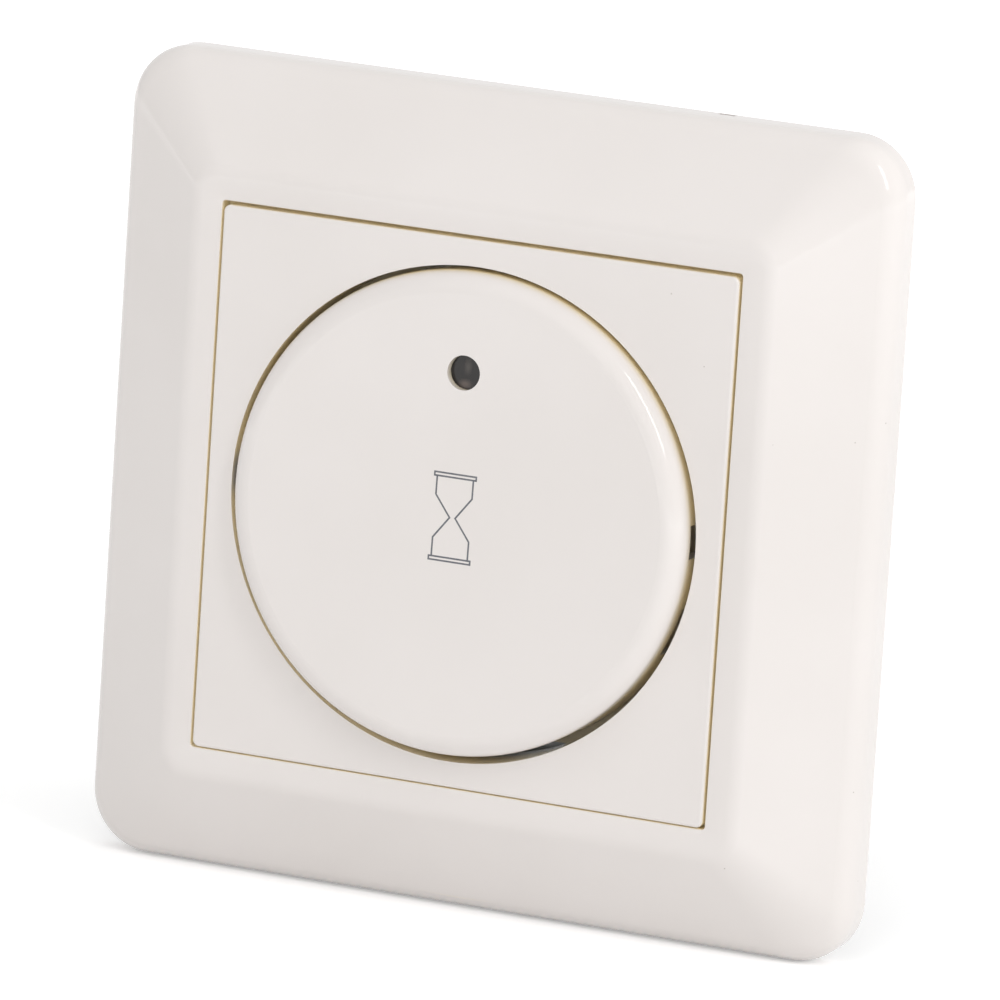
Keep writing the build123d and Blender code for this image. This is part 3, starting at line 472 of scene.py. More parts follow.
# Geometry Nodes helpers: every tree has named inputs and ends in one real mesh with its material
def startTree(name, inputs):
    tree = bpy.data.node_groups.new(name, "GeometryNodeTree")
    tree.is_modifier = True
    for label, kind in {"Geometry": "Geometry", **inputs, "Material": "Material"}.items():
        tree.interface.new_socket(label, in_out="INPUT", socket_type="NodeSocket" + kind)
    tree.interface.new_socket("Geometry", in_out="OUTPUT", socket_type="NodeSocketGeometry")
    return tree, addNode(tree, "NodeGroupInput").outputs


def endTree(tree, given, geometry):
    painted = addNode(tree, "GeometryNodeSetMaterial")
    output = addNode(tree, "NodeGroupOutput")
    tree.links.new(geometry, painted.inputs["Geometry"])
    tree.links.new(given["Material"], painted.inputs["Material"])
    tree.links.new(painted.outputs["Geometry"], output.inputs["Geometry"])


def copiesOn(tree, points, shape, turn=None):
    # A real copy of the shape on each point.
    copies = addNode(tree, "GeometryNodeInstanceOnPoints")
    real = addNode(tree, "GeometryNodeRealizeInstances")
    tree.links.new(points, copies.inputs["Points"])
    tree.links.new(shape, copies.inputs["Instance"])
    if turn is not None:
        tree.links.new(turn, copies.inputs["Rotation"])
    tree.links.new(copies.outputs["Instances"], real.inputs["Geometry"])
    return real.outputs["Geometry"]


def around(tree, radius, angle, height):
    # A place round the Y axis.
    x = times(tree, radius, calc(tree, "COSINE", angle))
    z = times(tree, radius, calc(tree, "SINE", angle))
    return spot(tree, x, height, z)


def indexedSheet(tree, rows, columns):
    # A sheet of points whose row and column numbers place them later.
    sheet = addNode(tree, "GeometryNodeMeshGrid")
    feed(tree, sheet.inputs["Vertices X"], rows)
    feed(tree, sheet.inputs["Vertices Y"], columns)
    index = addNode(tree, "GeometryNodeInputIndex").outputs["Index"]
    row = calc(tree, "FLOOR", over(tree, index, columns))
    column = minus(tree, index, times(tree, row, columns))
    return sheet.outputs["Mesh"], row, column


def placeSheet(tree, sheet, places, nearness=0.000002):
    moved = addNode(tree, "GeometryNodeSetPosition")
    merged = addNode(tree, "GeometryNodeMergeByDistance", {"Distance": nearness})
    tree.links.new(sheet, moved.inputs["Geometry"])
    tree.links.new(places, moved.inputs["Position"])
    tree.links.new(moved.outputs["Geometry"], merged.inputs["Geometry"])
    return merged.outputs["Geometry"]


def profileValue(tree, given, name, row):
    named = addNode(tree, "GeometryNodeInputNamedAttribute", {"Name": name}, data_type="FLOAT")
    sample = addNode(tree, "GeometryNodeSampleIndex", data_type="FLOAT", domain="POINT")
    tree.links.new(given["Geometry"], sample.inputs["Geometry"])
    tree.links.new(named.outputs["Attribute"], sample.inputs["Value"])
    tree.links.new(row, sample.inputs["Index"])
    return sample.outputs["Value"]


def turnedForm(tree, shares, sides, radius, height):
    # A form turned round the Y axis, from shares of its radius and height.
    sheet, row, column = indexedSheet(tree, len(shares), plus(tree, sides, 1.0))
    angle = times(tree, over(tree, column, sides), 2 * math.pi)
    wide = 0.0
    high = 0.0
    for i, (wideShare, highShare) in enumerate(shares):
        here = calc(tree, "COMPARE", row, float(i), 0.5)
        wide = calc(tree, "MULTIPLY_ADD", here, wideShare, wide)
        high = calc(tree, "MULTIPLY_ADD", here, highShare, high)
    return placeSheet(tree, sheet, around(tree, times(tree, wide, radius), angle, times(tree, high, height)))


def coiledWire(tree, given, radius, height, reverse):
    # One helix of round wire that climbs along Z from its first end.
    path = addNode(tree, "GeometryNodeCurveSpiral", {"Reverse": reverse})
    course = {
        "Resolution": given["Turn Steps"], "Rotations": given["Turns"],
        "Start Radius": radius, "End Radius": radius, "Height": height,
    }
    for label, value in course.items():
        tree.links.new(value, path.inputs[label])
    section = addNode(tree, "GeometryNodeCurvePrimitiveCircle")
    tree.links.new(given["Wire Sides"], section.inputs["Resolution"])
    tree.links.new(given["Wire Radius"], section.inputs["Radius"])
    wire = addNode(tree, "GeometryNodeCurveToMesh", {"Fill Caps": True})
    tree.links.new(path.outputs["Curve"], wire.inputs["Curve"])
    tree.links.new(section.outputs["Curve"], wire.inputs["Profile Curve"])
    return wire.outputs["Mesh"]


def block(tree, size, place):
    cube = addNode(tree, "GeometryNodeMeshCube")
    shift = addNode(tree, "GeometryNodeTransform")
    feed(tree, cube.inputs["Size"], size)
    feed(tree, shift.inputs["Translation"], place)
    tree.links.new(cube.outputs["Mesh"], shift.inputs["Geometry"])
    return shift.outputs["Geometry"]


def combine(tree, operation, first, *others):
    node = addNode(tree, "GeometryNodeMeshBoolean", operation=operation, solver="EXACT")
    if operation == "DIFFERENCE":
        tree.links.new(first, node.inputs["Mesh 1"])
    else:
        tree.links.new(first, node.inputs["Mesh 2"])
    for other in others:
        tree.links.new(other, node.inputs["Mesh 2"])
    return node.outputs["Mesh"]


def pointMesh(name, places, **columns):
    mesh = bpy.data.meshes.new(name)
    mesh.from_pydata([tuple(place) for place in places], [], [])
    for label, values in columns.items():
        mesh.attributes.new(label, "FLOAT", "POINT").data.foreach_set("value", values)
    return mesh


def grow(name, tree, mesh, values, sharp=32.0):
    # Runs a tree once and keeps its result as a plain mesh.
    piece = bpy.data.objects.new(name, mesh)
    modifier = piece.modifiers.new(name, "NODES")
    modifier.node_group = tree
    for item in tree.interface.items_tree:
        if item.in_out == "INPUT" and item.name in values:
            modifier[item.identifier] = values[item.name]
    bpy.context.scene.collection.objects.link(piece)
    bpy.context.view_layer.update()
    evaluated = piece.evaluated_get(bpy.context.evaluated_depsgraph_get())
    plain = bpy.data.meshes.new_from_object(evaluated)
    piece.modifiers.remove(modifier)
    piece.data = plain
    shape = bmesh.new()
    shape.from_mesh(plain)
    bmesh.ops.recalc_face_normals(shape, faces=shape.faces)
    shape.to_mesh(plain)
    shape.free()
    plain.shade_smooth()
    plain.set_sharp_from_angle(angle=math.radians(sharp))
    print("made", name, len(plain.polygons), "faces")
    return piece


# Cover frame: one profile carried round four rounded corners, in millimetres
frameSizes = {
    "half": 41.65, "sideHeight": 3.9, "sideCorner": 6.2, "edgeRound": 3.2,
    "ledgeHalf": 30.9, "ledgeHeight": 10.1, "ledgeCorner": 2.75, "ledgeBlend": 3.0,
    "openingHalf": 28.0, "openingCorner": 0.35, "openingEdge": 0.12, "openingSteps": 3,
    "shelfHalf": 26.5, "shelfHeight": 8.3, "shelfThickness": 1.8, "shelfBacking": 3.2,
    "wall": 2.0, "roundSteps": 10, "cornerSteps": 14, "support": 0.05,
    "ribInner": 35.8, "ribOuter": 37.0, "ribLow": 0.4, "ribHigh": 5.58, "ribPlace": 18.0, "ribLength": 8.0,
    "notchPlace": 21.4, "notchWidth": 1.8, "notchDepth": 0.7, "notchBack": 0.15,
}


def frameProfile(sizes):
    # Each point is its distance from the middle, the corner's radius there, and its height off the wall.
    half = sizes["half"]
    run = half - sizes["ledgeHalf"]
    rise = sizes["ledgeHeight"] - sizes["sideHeight"]
    lean = math.atan2(rise, run)
    narrowing = (sizes["sideCorner"] - sizes["ledgeCorner"]) / run
    near = sizes["support"]
    points = [(half, sizes["sideCorner"], 0.0)]

    # Upright side, then its rounded edge
    turn = math.pi / 2 - lean
    cut = sizes["edgeRound"] * math.tan(turn / 2)
    start = sizes["sideHeight"] - cut
    points.append((half, sizes["sideCorner"], start - near))
    for i in range(sizes["roundSteps"] + 1):
        angle = turn * i / sizes["roundSteps"]
        reach = half - sizes["edgeRound"] * (1.0 - math.cos(angle))
        corner = sizes["sideCorner"] - (half - reach) * narrowing
        points.append((reach, corner, start + sizes["edgeRound"] * math.sin(angle)))
    reach, corner, height = points[-1]
    nearAlong = near * math.cos(lean)
    nearUp = near * math.sin(lean)
    points.append((reach - nearAlong, corner - nearAlong * narrowing, height + nearUp))

    # Slope, then the soft blend into the ledge
    cut = sizes["ledgeBlend"] * math.tan(lean / 2)
    first = sizes["ledgeHalf"] + cut * math.cos(lean)
    firstCorner = sizes["sideCorner"] - (half - first) * narrowing
    firstHeight = sizes["ledgeHeight"] - cut * math.sin(lean)
    points.append((first + nearAlong, firstCorner + nearAlong * narrowing, firstHeight - nearUp))
    last = sizes["ledgeHalf"] - cut
    lastCorner = sizes["ledgeCorner"] - cut
    for i in range(sizes["roundSteps"] + 1):
        angle = lean * (1.0 - i / sizes["roundSteps"])
        reach = last + sizes["ledgeBlend"] * math.sin(angle)
        share = (reach - last) / (first - last)
        corner = lastCorner + (firstCorner - lastCorner) * share
        points.append((reach, corner, sizes["ledgeHeight"] - sizes["ledgeBlend"] * (1.0 - math.cos(angle))))
    points.append((last - near, lastCorner - near, sizes["ledgeHeight"]))

    # Ledge to the opening's softened edge, down to the shelf and back under it
    opening = sizes["openingHalf"]
    edge = sizes["openingEdge"]
    for i in range(sizes["openingSteps"] + 1):
        angle = math.pi / 2 * i / sizes["openingSteps"]
        outward = edge * (1.0 - math.sin(angle))
        down = edge * (1.0 - math.cos(angle))
        points.append((opening + outward, sizes["openingCorner"] + outward, sizes["ledgeHeight"] - down))
    points.append((opening, sizes["openingCorner"], sizes["shelfHeight"]))
    points.append((sizes["shelfHalf"], sizes["openingCorner"], sizes["shelfHeight"]))
    under = sizes["shelfHeight"] - sizes["shelfThickness"]
    points.append((sizes["shelfHalf"], sizes["openingCorner"], under))
    backing = sizes["shelfHalf"] + sizes["shelfBacking"]
    roof = sizes["ledgeHeight"] - sizes["wall"]
    points.append((backing, sizes["ledgeCorner"], under))
    points.append((backing, sizes["ledgeCorner"], roof))

    # The hollow under the slope
    drop = sizes["wall"] / math.cos(lean)
    inner = half - sizes["wall"]
    innerEnd = half - run * (roof + drop - sizes["sideHeight"]) / rise
    innerCorner = sizes["sideCorner"] - sizes["wall"]
    points.append((innerEnd, sizes["ledgeCorner"], roof))
    points.append((inner, innerCorner, sizes["sideHeight"] + (half - inner) * rise / run - drop))
    points.append((inner, innerCorner, 0.0))
    return [metres(point) for point in points]


def frameTree():
    tree, given = startTree(
        "squareRing",
        {
            "Corner Steps": "Int", "Rib Size": "Vector", "Rib Reach": "Float", "Rib Place": "Float",
            "Rib Height": "Float", "Notch Size": "Vector", "Notch Centre": "Vector",
        },
    )
    count = addNode(tree, "GeometryNodeAttributeDomainSize", component="MESH")
    tree.links.new(given["Geometry"], count.inputs["Geometry"])
    profileCount = count.outputs["Point Count"]
    steps = given["Corner Steps"]
    perCorner = plus(tree, steps, 1.0)
    columns = plus(tree, times(tree, perCorner, 4.0), 1.0)
    sheet, row, column = indexedSheet(tree, plus(tree, profileCount, 1.0), columns)
    profileRow = calc(tree, "MODULO", row, profileCount)
    half = profileValue(tree, given, "half", profileRow)
    corner = profileValue(tree, given, "corner", profileRow)
    height = profileValue(tree, given, "height", profileRow)
    quarter = calc(tree, "FLOOR", over(tree, column, perCorner))
    step = minus(tree, column, times(tree, quarter, perCorner))
    start = times(tree, quarter, math.pi / 2)
    angle = calc(tree, "MULTIPLY_ADD", over(tree, step, steps), math.pi / 2, start)
    centreAngle = plus(tree, start, math.pi / 4)
    toCentre = times(tree, minus(tree, half, corner), math.sqrt(2.0))

    def acrossCorner(wave):
        # Out to the corner's centre, then round it.
        bend = times(tree, corner, calc(tree, wave, angle))
        return calc(tree, "MULTIPLY_ADD", toCentre, calc(tree, wave, centreAngle), bend)

    places = spot(tree, acrossCorner("COSINE"), times(tree, height, -1.0), acrossCorner("SINE"))
    ring = placeSheet(tree, sheet, places)

    # Two stiffening ribs on each side, behind the slope
    index = addNode(tree, "GeometryNodeInputIndex").outputs["Index"]
    side = times(tree, calc(tree, "MODULO", index, 4.0), math.pi / 2)
    pair = calc(tree, "FLOOR", over(tree, index, 4.0))
    along = times(tree, given["Rib Place"], minus(tree, times(tree, pair, 2.0), 1.0))
    cosine = calc(tree, "COSINE", side)
    sine = calc(tree, "SINE", side)
    ribX = minus(tree, times(tree, given["Rib Reach"], cosine), times(tree, along, sine))
    ribZ = plus(tree, times(tree, given["Rib Reach"], sine), times(tree, along, cosine))
    ribPlaces = addNode(tree, "GeometryNodePoints", {"Count": 8})
    ribPlace = spot(tree, ribX, times(tree, given["Rib Height"], -1.0), ribZ)
    tree.links.new(ribPlace, ribPlaces.inputs["Position"])
    rib = addNode(tree, "GeometryNodeMeshCube")
    tree.links.new(given["Rib Size"], rib.inputs["Size"])
    facing = spot(tree, 0.0, times(tree, side, -1.0), 0.0)
    ribs = copiesOn(tree, ribPlaces.outputs[0], rib.outputs["Mesh"], facing)
    ribbed = combine(tree, "UNION", ring, ribs)
    notch = block(tree, given["Notch Size"], given["Notch Centre"])
    endTree(tree, given, combine(tree, "DIFFERENCE", ribbed, notch))
    return tree


def addCoverFrame(sizes, finish):
    profile = frameProfile(sizes)
    mesh = pointMesh(
        "frameProfile",
        [(half, -height, 0.0) for half, corner, height in profile],
        half=[half for half, corner, height in profile],
        corner=[corner for half, corner, height in profile],
        height=[height for half, corner, height in profile],
    )
    ribDepth = sizes["ribHigh"] - sizes["ribLow"]
    notchSize = (sizes["notchWidth"], sizes["notchDepth"] - sizes["notchBack"], 2 * sizes["wall"])
    notchMiddle = -(sizes["notchDepth"] + sizes["notchBack"]) / 2
    values = {
        "Corner Steps": sizes["cornerSteps"],
        "Rib Size": metres((sizes["ribOuter"] - sizes["ribInner"], ribDepth, sizes["ribLength"])),
        "Rib Reach": (sizes["ribInner"] + sizes["ribOuter"]) / 2 * millimetre,
        "Rib Place": sizes["ribPlace"] * millimetre,
        "Rib Height": (sizes["ribLow"] + ribDepth / 2) * millimetre,
        "Notch Size": metres(notchSize),
        "Notch Centre": metres((sizes["notchPlace"], notchMiddle, sizes["half"])),
        "Material": finish,
    }
    piece = grow("coverFrame", frameTree(), mesh, values)
    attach(piece, "base")
    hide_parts("cover_frame")


# Screws: a turned head and a rolled thread, tips towards the front, in millimetres. The finished
# screws have no head, a known fault that screwTree describes.
headRows = (
    (0.0, 1.0), (0.55, 1.0), (0.86, 0.95), (0.97, 0.84), (1.0, 0.72), (1.0, 0.06), (0.97, 0.0), (0.0, 0.0),
)
screwLengths = {
    "Head Radius": "headRadius", "Head Height": "head", "Slot Width": "slotWidth",
    "Slot Length": "slotLength", "Slot Depth": "slotDepth", "Shank Radius": "shank", "Length": "length",
    "Thread Depth": "threadDepth", "Pitch": "pitch", "Thread Start": "threadStart", "Thread End": "threadEnd",
}
screwSteps = {"Steps": 4, "Sides": 24}
screwSizes = {
    "clamp": {
        "headRadius": 1.9, "head": 1.4, "slotWidth": 0.7, "slotLength": 3.9, "slotDepth": 0.7, "slots": 1,
        "shank": 1.3, "length": 3.95, "threadDepth": 0.24, "pitch": 0.5,
        "threadStart": 0.2, "threadEnd": 3.75,
    },
    "housing": {
        "headRadius": 2.1, "head": 1.6, "slotWidth": 0.6, "slotLength": 2.4, "slotDepth": 0.8, "slots": 2,
        "shank": 1.25, "length": 27.8, "threadDepth": 0.22, "pitch": 0.6,
        "threadStart": 20.8, "threadEnd": 27.4,
    },
}


def screwTree():
    counts = {"Slots": "Int", "Steps": "Int", "Sides": "Int"}
    tree, given = startTree("screwSet", {**dict.fromkeys(screwLengths, "Float"), **counts})
    sides = given["Sides"]
    pitch = given["Pitch"]
    steps = given["Steps"]

    # Shank: rows run down the axis and climb one pitch a turn, so the thread is a true helix
    rise = over(tree, pitch, steps)
    rungs = calc(tree, "CEIL", over(tree, plus(tree, given["Length"], pitch), rise))
    rows = plus(tree, rungs, 3.0)
    sheet, row, column = indexedSheet(tree, rows, plus(tree, sides, 1.0))
    turn = over(tree, column, sides)
    level = times(tree, minus(tree, row, plus(tree, steps, 1.0)), rise)
    run = calc(tree, "MULTIPLY_ADD", turn, pitch, level)
    low = times(tree, given["Head Height"], -0.5)
    along = calc(tree, "MINIMUM", calc(tree, "MAXIMUM", run, low), given["Length"])

    # The thread's valleys fade out over one pitch at both of its ends
    valley = times(tree, calc(tree, "PINGPONG", over(tree, level, pitch), 0.5), 2.0)
    perPitch = over(tree, 1.0, pitch)
    inward = times(tree, minus(tree, along, given["Thread Start"]), perPitch)
    outward = times(tree, minus(tree, given["Thread End"], along), perPitch)
    nearest = calc(tree, "MINIMUM", calc(tree, "MINIMUM", inward, outward), 1.0)
    fade = calc(tree, "MAXIMUM", nearest, 0.0)
    cut = times(tree, times(tree, valley, given["Thread Depth"]), fade)
    pastShoulder = minus(tree, plus(tree, along, given["Thread Depth"]), given["Length"])
    point = calc(tree, "MAXIMUM", pastShoulder, 0.0)
    body = minus(tree, minus(tree, given["Shank Radius"], cut), point)

    # The last row closes the tip. Known fault: the first rows climb with the thread instead of
    # lying level, so the end under the head stays open, and the finished screws have no head
    firstRow = calc(tree, "GREATER_THAN", row, 0.5)
    lastRow = calc(tree, "LESS_THAN", row, minus(tree, rows, 1.5))
    radius = times(tree, body, times(tree, firstRow, lastRow))
    angle = times(tree, turn, 2 * math.pi)
    shank = placeSheet(tree, sheet, around(tree, radius, angle, times(tree, along, -1.0)))
    head = turnedForm(tree, headRows, sides, given["Head Radius"], given["Head Height"])
    joined = combine(tree, "UNION", shank, head)

    # Slot, or two crossed slots
    slotPlaces = addNode(tree, "GeometryNodePoints")
    tree.links.new(given["Slots"], slotPlaces.inputs["Count"])
    tree.links.new(spot(tree, 0.0, given["Head Height"], 0.0), slotPlaces.inputs["Position"])
    slotBlock = addNode(tree, "GeometryNodeMeshCube")
    slotSize = spot(tree, given["Slot Length"], times(tree, given["Slot Depth"], 2.0), given["Slot Width"])
    tree.links.new(slotSize, slotBlock.inputs["Size"])
    index = addNode(tree, "GeometryNodeInputIndex").outputs["Index"]
    facing = spot(tree, 0.0, times(tree, index, math.pi / 2), 0.0)
    slots = copiesOn(tree, slotPlaces.outputs[0], slotBlock.outputs["Mesh"], facing)
    slotted = combine(tree, "DIFFERENCE", joined, slots)
    endTree(tree, given, copiesOn(tree, given["Geometry"], slotted))
    return tree


def addScrews(tree, name, look, places, body, node, finish):
    values = {label: look[size] * millimetre for label, size in screwLengths.items()}
    values.update({"Slots": look["slots"], "Material": finish, **screwSteps})
    piece = grow(name, tree, pointMesh(name + "Places", places), values, 40.0)
    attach(piece, body)
    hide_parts(node)


# Solder joints on the board's front, one round each lead, in millimetres
solderRows = (
    (0.0, 0.0), (1.0, 0.0), (0.96, 0.10), (0.72, 0.22), (0.55, 0.42), (0.46, 0.72), (0.38, 0.92), (0.0, 1.0),
)
solderSizes = {
    "radius": 0.8, "height": 0.75, "sides": 14, "boardFront": 1.0,
    "leads": (
        (-9.0, -6.1), (-4.4, -6.1), (-9.0, 8.9), (-4.4, 8.9), (4.25, 7.6), (11.75, 7.6),
        (3.35, -4.85), (5.85, -4.85), (9.3, -2.5), (14.3, -2.5), (-15.2, -4.15), (-15.2, 4.15),
    ),
}


def addSolder(sizes, finish):
    tree, given = startTree("solderJoints", {"Radius": "Float", "Height": "Float", "Sides": "Int"})
    depth = times(tree, given["Height"], -1.0)
    joint = turnedForm(tree, solderRows, given["Sides"], given["Radius"], depth)
    endTree(tree, given, copiesOn(tree, given["Geometry"], joint))
    places = [metres((x, sizes["boardFront"], z)) for x, z in sizes["leads"]]
    values = {
        "Radius": sizes["radius"] * millimetre, "Height": sizes["height"] * millimetre,
        "Sides": sizes["sides"], "Material": finish,
    }
    piece = grow("solderJoints", tree, pointMesh("leadPlaces", places), values, 50.0)
    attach(piece, "base")


# Relay winding: the outermost layer of turns round the wound body, in millimetres
windingSizes = {"wire": 0.10, "turns": 38.0, "turnSteps": 22, "wireSides": 6, "bore": 2.23, "bodySides": 48}
sleeveShares = {"sunk": 0.3, "boreLength": 1.5}


def addWinding(sizes, finish):
    tree, given = startTree(
        "wireCoil",
        {
            "Radius": "Float", "Length": "Float", "Bore": "Float", "Turns": "Float", "Wire Radius": "Float",
            "Turn Steps": "Int", "Wire Sides": "Int", "Body Sides": "Int",
        },
    )
    wire = given["Wire Radius"]
    middle = minus(tree, given["Radius"], wire)
    height = minus(tree, given["Length"], times(tree, wire, 2.0))
    lowered = addNode(tree, "GeometryNodeTransform")
    tree.links.new(coiledWire(tree, given, middle, height, False), lowered.inputs["Geometry"])
    tree.links.new(spot(tree, 0.0, 0.0, times(tree, height, -0.5)), lowered.inputs["Translation"])

    # The layers below, as one sleeve round the bobbin
    outside = minus(tree, middle, times(tree, wire, sleeveShares["sunk"]))
    through = times(tree, given["Length"], sleeveShares["boreLength"])
    body = addNode(tree, "GeometryNodeMeshCylinder")
    hole = addNode(tree, "GeometryNodeMeshCylinder")
    for cylinder, radius, depth in ((body, outside, given["Length"]), (hole, given["Bore"], through)):
        tree.links.new(given["Body Sides"], cylinder.inputs["Vertices"])
        tree.links.new(radius, cylinder.inputs["Radius"])
        tree.links.new(depth, cylinder.inputs["Depth"])
    sleeve = combine(tree, "DIFFERENCE", body.outputs["Mesh"], hole.outputs["Mesh"])
    together = addNode(tree, "GeometryNodeJoinGeometry")
    tree.links.new(lowered.outputs["Geometry"], together.inputs["Geometry"])
    tree.links.new(sleeve, together.inputs["Geometry"])
    endTree(tree, given, copiesOn(tree, given["Geometry"], together.outputs["Geometry"]))

    lowest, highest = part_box("relay_winding")
    values = {
        "Radius": (highest.x - lowest.x) / 2, "Length": highest.z - lowest.z,
        "Bore": sizes["bore"] * millimetre, "Turns": sizes["turns"],
        "Wire Radius": sizes["wire"] * millimetre, "Turn Steps": sizes["turnSteps"],
        "Wire Sides": sizes["wireSides"], "Body Sides": sizes["bodySides"], "Material": finish,
    }
    piece = grow("relayWinding", tree, pointMesh("coilPlace", [(lowest + highest) / 2]), values, 45.0)
    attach(piece, "base")
    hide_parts("relay_winding")


# Return springs: open coils that stand on their feet, in millimetres
springSizes = {"wire": 0.3, "turns": 5.5, "turnSteps": 24, "wireSides": 10, "press": 1.15}


def addSprings(sizes, finish):
    tree, given = startTree(
        "openCoil",
        {
            "Radius": "Float", "Height": "Float", "Turns": "Float", "Wire Radius": "Float",
            "Turn Steps": "Int", "Wire Sides": "Int",
        },
    )
    # The coil stands on the insert front, so its axis points out of the wall
    upright = addNode(tree, "GeometryNodeTransform", {"Rotation": (math.pi / 2, 0.0, 0.0)})
    wire = coiledWire(tree, given, given["Radius"], given["Height"], True)
    tree.links.new(wire, upright.inputs["Geometry"])
    endTree(tree, given, copiesOn(tree, given["Geometry"], upright.outputs["Geometry"]))

    wireRadius = sizes["wire"] * millimetre
    for side in ("left", "right"):
        lowest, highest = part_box(f"return_spring_{side}")
        length = highest.y - lowest.y
        middle = (lowest + highest) / 2
        values = {
            "Radius": (highest.x - lowest.x) / 2 - wireRadius, "Height": length - 2 * wireRadius,
            "Turns": sizes["turns"], "Wire Radius": wireRadius, "Turn Steps": sizes["turnSteps"],
            "Wire Sides": sizes["wireSides"], "Material": finish,
        }
        foot = pointMesh(f"springFoot{side.title()}", [(middle.x, highest.y - wireRadius, middle.z)])
        piece = grow(f"returnSpring{side.title()}", tree, foot, values, 45.0)
        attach(piece, "base")
        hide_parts(f"return_spring_{side}")
        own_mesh(piece)
        print("spring", side, "length", round(length / millimetre, 2), "mm at rest")


# A plain pale floor under the frame's lower edge, white to the camera except where the timer shades it
floorSettings = {
    "half": 3.0, "colour": 0.93, "shade": 0.98, "fibres": 900.0, "rough": 0.9,
    "lift": 0.30, "fade": (0.25, 1.1), "gap": 0.0001,
}


def seenWhite(tree):
    # 1 for the rays that show the background: straight, mirrored or through clear plastic.
    rays = addNode(tree, "ShaderNodeLightPath").outputs
    bounced = calc(tree, "MAXIMUM", rays["Is Glossy Ray"], rays["Is Transmission Ray"])
    return calc(tree, "MAXIMUM", rays["Is Camera Ray"], bounced)


def addFloor(settings):
    lowest = cadBounds[0][2] - settings["gap"]
    half = settings["half"]
    corners = [(-half, -half, lowest), (half, -half, lowest), (half, half, lowest), (-half, half, lowest)]
    mesh = bpy.data.meshes.new("floor")
    mesh.from_pydata(corners, [], [(0, 1, 2, 3)])
    floor = bpy.data.objects.new("floor", mesh)
    bpy.context.scene.collection.objects.link(floor)
    material, tree, shader, place = startMaterial("floorPaper")
    fibres = remap(tree, noise(tree, place, settings["fibres"], 3.0), 0.3, 0.7, 0.0, 1.0)
    pale = settings["colour"]
    dull = settings["shade"] * pale
    tone = mixColours(tree, fibres, (pale, pale, pale), (dull, dull, dull))
    tree.links.new(tone, shader.inputs["Base Color"])
    shader.inputs["Roughness"].default_value = settings["rough"]
    shader.inputs["Emission Color"].default_value = (1.0, 1.0, 1.0, 1.0)
    away = addNode(tree, "ShaderNodeVectorMath", operation="LENGTH")
    tree.links.new(place, away.inputs[0])
    lift = remap(tree, away.outputs["Value"], *settings["fade"], settings["lift"], 1.0)
    lifted = times(tree, seenWhite(tree), lift)
    tree.links.new(lifted, shader.inputs["Emission Strength"])
    mesh.materials.append(material)


# Soft light: an even white surround with large panels, and a tall strip that the gloss mirrors
worldSettings = {"strength": 0.45, "colour": (1.0, 0.995, 0.99)}
panels = {
    "panelFront": {"place": (0.3, -1.9, 0.3), "size": (1.2, 1.2), "power": 8.0, "mirrored": False},
    "panelRight": {"place": (1.6, 0.1, 0.5), "size": (1.0, 1.0), "power": 10.4, "mirrored": False},
    "panelAbove": {"place": (0.0, -0.9, 1.4), "size": (1.2, 1.2), "power": 6.4, "mirrored": False},
    "panelBehind": {"place": (0.2, 0.5, 1.6), "size": (1.2, 1.2), "power": 4.0, "mirrored": False},
    "panelLeft": {"place": (-1.3, -1.0, 0.4), "size": (1.2, 1.2), "power": 1.1, "mirrored": False},
    "strip": {"place": (1.15, -0.78, 0.95), "size": (0.22, 0.90), "power": 3.8, "mirrored": True},
}


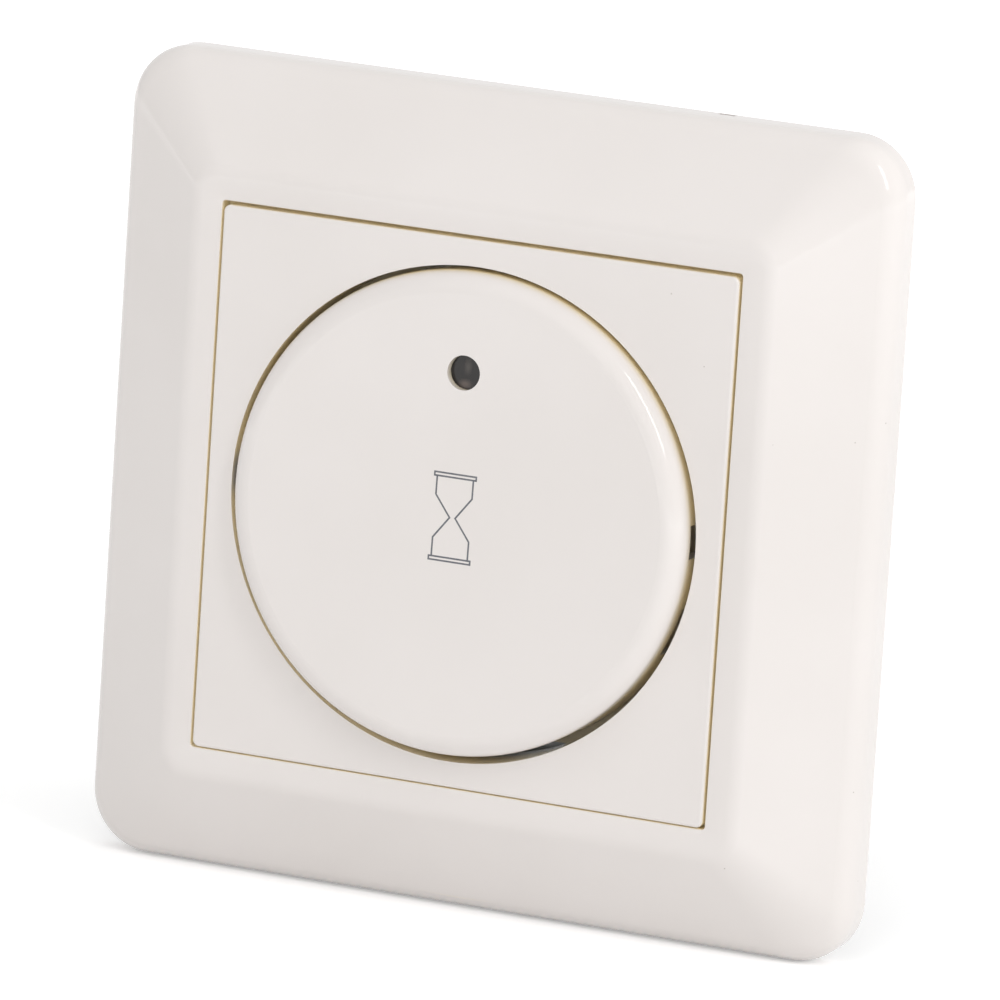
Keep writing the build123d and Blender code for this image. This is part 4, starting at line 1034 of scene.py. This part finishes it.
def addLight():
    world = bpy.data.worlds.new("surround")
    world.use_nodes = True
    tree = world.node_tree
    tree.nodes.clear()
    output = addNode(tree, "ShaderNodeOutputWorld")
    soft = addNode(tree, "ShaderNodeBackground", {"Strength": worldSettings["strength"]})
    soft.inputs["Color"].default_value = (*worldSettings["colour"], 1.0)
    white = addNode(tree, "ShaderNodeBackground", {"Strength": 1.0})
    white.inputs["Color"].default_value = (1.0, 1.0, 1.0, 1.0)
    mixed = addNode(tree, "ShaderNodeMixShader")
    tree.links.new(seenWhite(tree), mixed.inputs["Fac"])
    tree.links.new(soft.outputs["Background"], mixed.inputs[1])
    tree.links.new(white.outputs["Background"], mixed.inputs[2])
    tree.links.new(mixed.outputs["Shader"], output.inputs["Surface"])
    bpy.context.scene.world = world
    for name, panel in panels.items():
        lamp = bpy.data.lights.new(name, "AREA")
        lamp.shape = "RECTANGLE"
        lamp.size, lamp.size_y = panel["size"]
        lamp.energy = panel["power"]
        holder = bpy.data.objects.new(name, lamp)
        holder.visible_glossy = panel["mirrored"]
        place = Vector(panel["place"])
        aim = place.to_track_quat("Z", "Y").to_matrix().to_4x4()
        holder.matrix_world = Matrix.Translation(place) @ aim
        bpy.context.scene.collection.objects.link(holder)


addCamera(photoView)
finishes = makeFinishes()
dressNodes(finishes)
print("finishes made:", len(finishes))
addCoverFrame(frameSizes, finishes["ivory_gloss"])
screwNodes = screwTree()
clampSizes = screwSizes["clamp"]
for i in range(1, 5):
    lowest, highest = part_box(f"terminal_screw_{i}")
    middle = (lowest + highest) / 2
    seat = (middle.x, highest.y - clampSizes["head"] * millimetre, middle.z)
    addScrews(
        screwNodes, f"clampScrew{i}", clampSizes, [seat], f"clamp_screw_{i}", f"terminal_screw_{i}",
        finishes["zinc_plate"],
    )
addSolder(solderSizes, finishes["bright_steel"])
addWinding(windingSizes, finishes["copper_wire"])
addSprings(springSizes, finishes["bright_steel"])
housingSizes = screwSizes["housing"]
lowest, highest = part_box("housing_screws")
headRadius = housingSizes["headRadius"] * millimetre
depth = highest.y - housingSizes["head"] * millimetre
seats = [
    (x, depth, z)
    for x in (lowest.x + headRadius, highest.x - headRadius)
    for z in (lowest.z + headRadius, highest.z - headRadius)
]
addScrews(
    screwNodes, "housingScrews", housingSizes, seats, "base", "housing_screws",
    finishes["zinc_plate"],
)
addFloor(floorSettings)
addLight()
bpy.context.scene.view_settings.view_transform = "Standard"
print("floor and light placed")
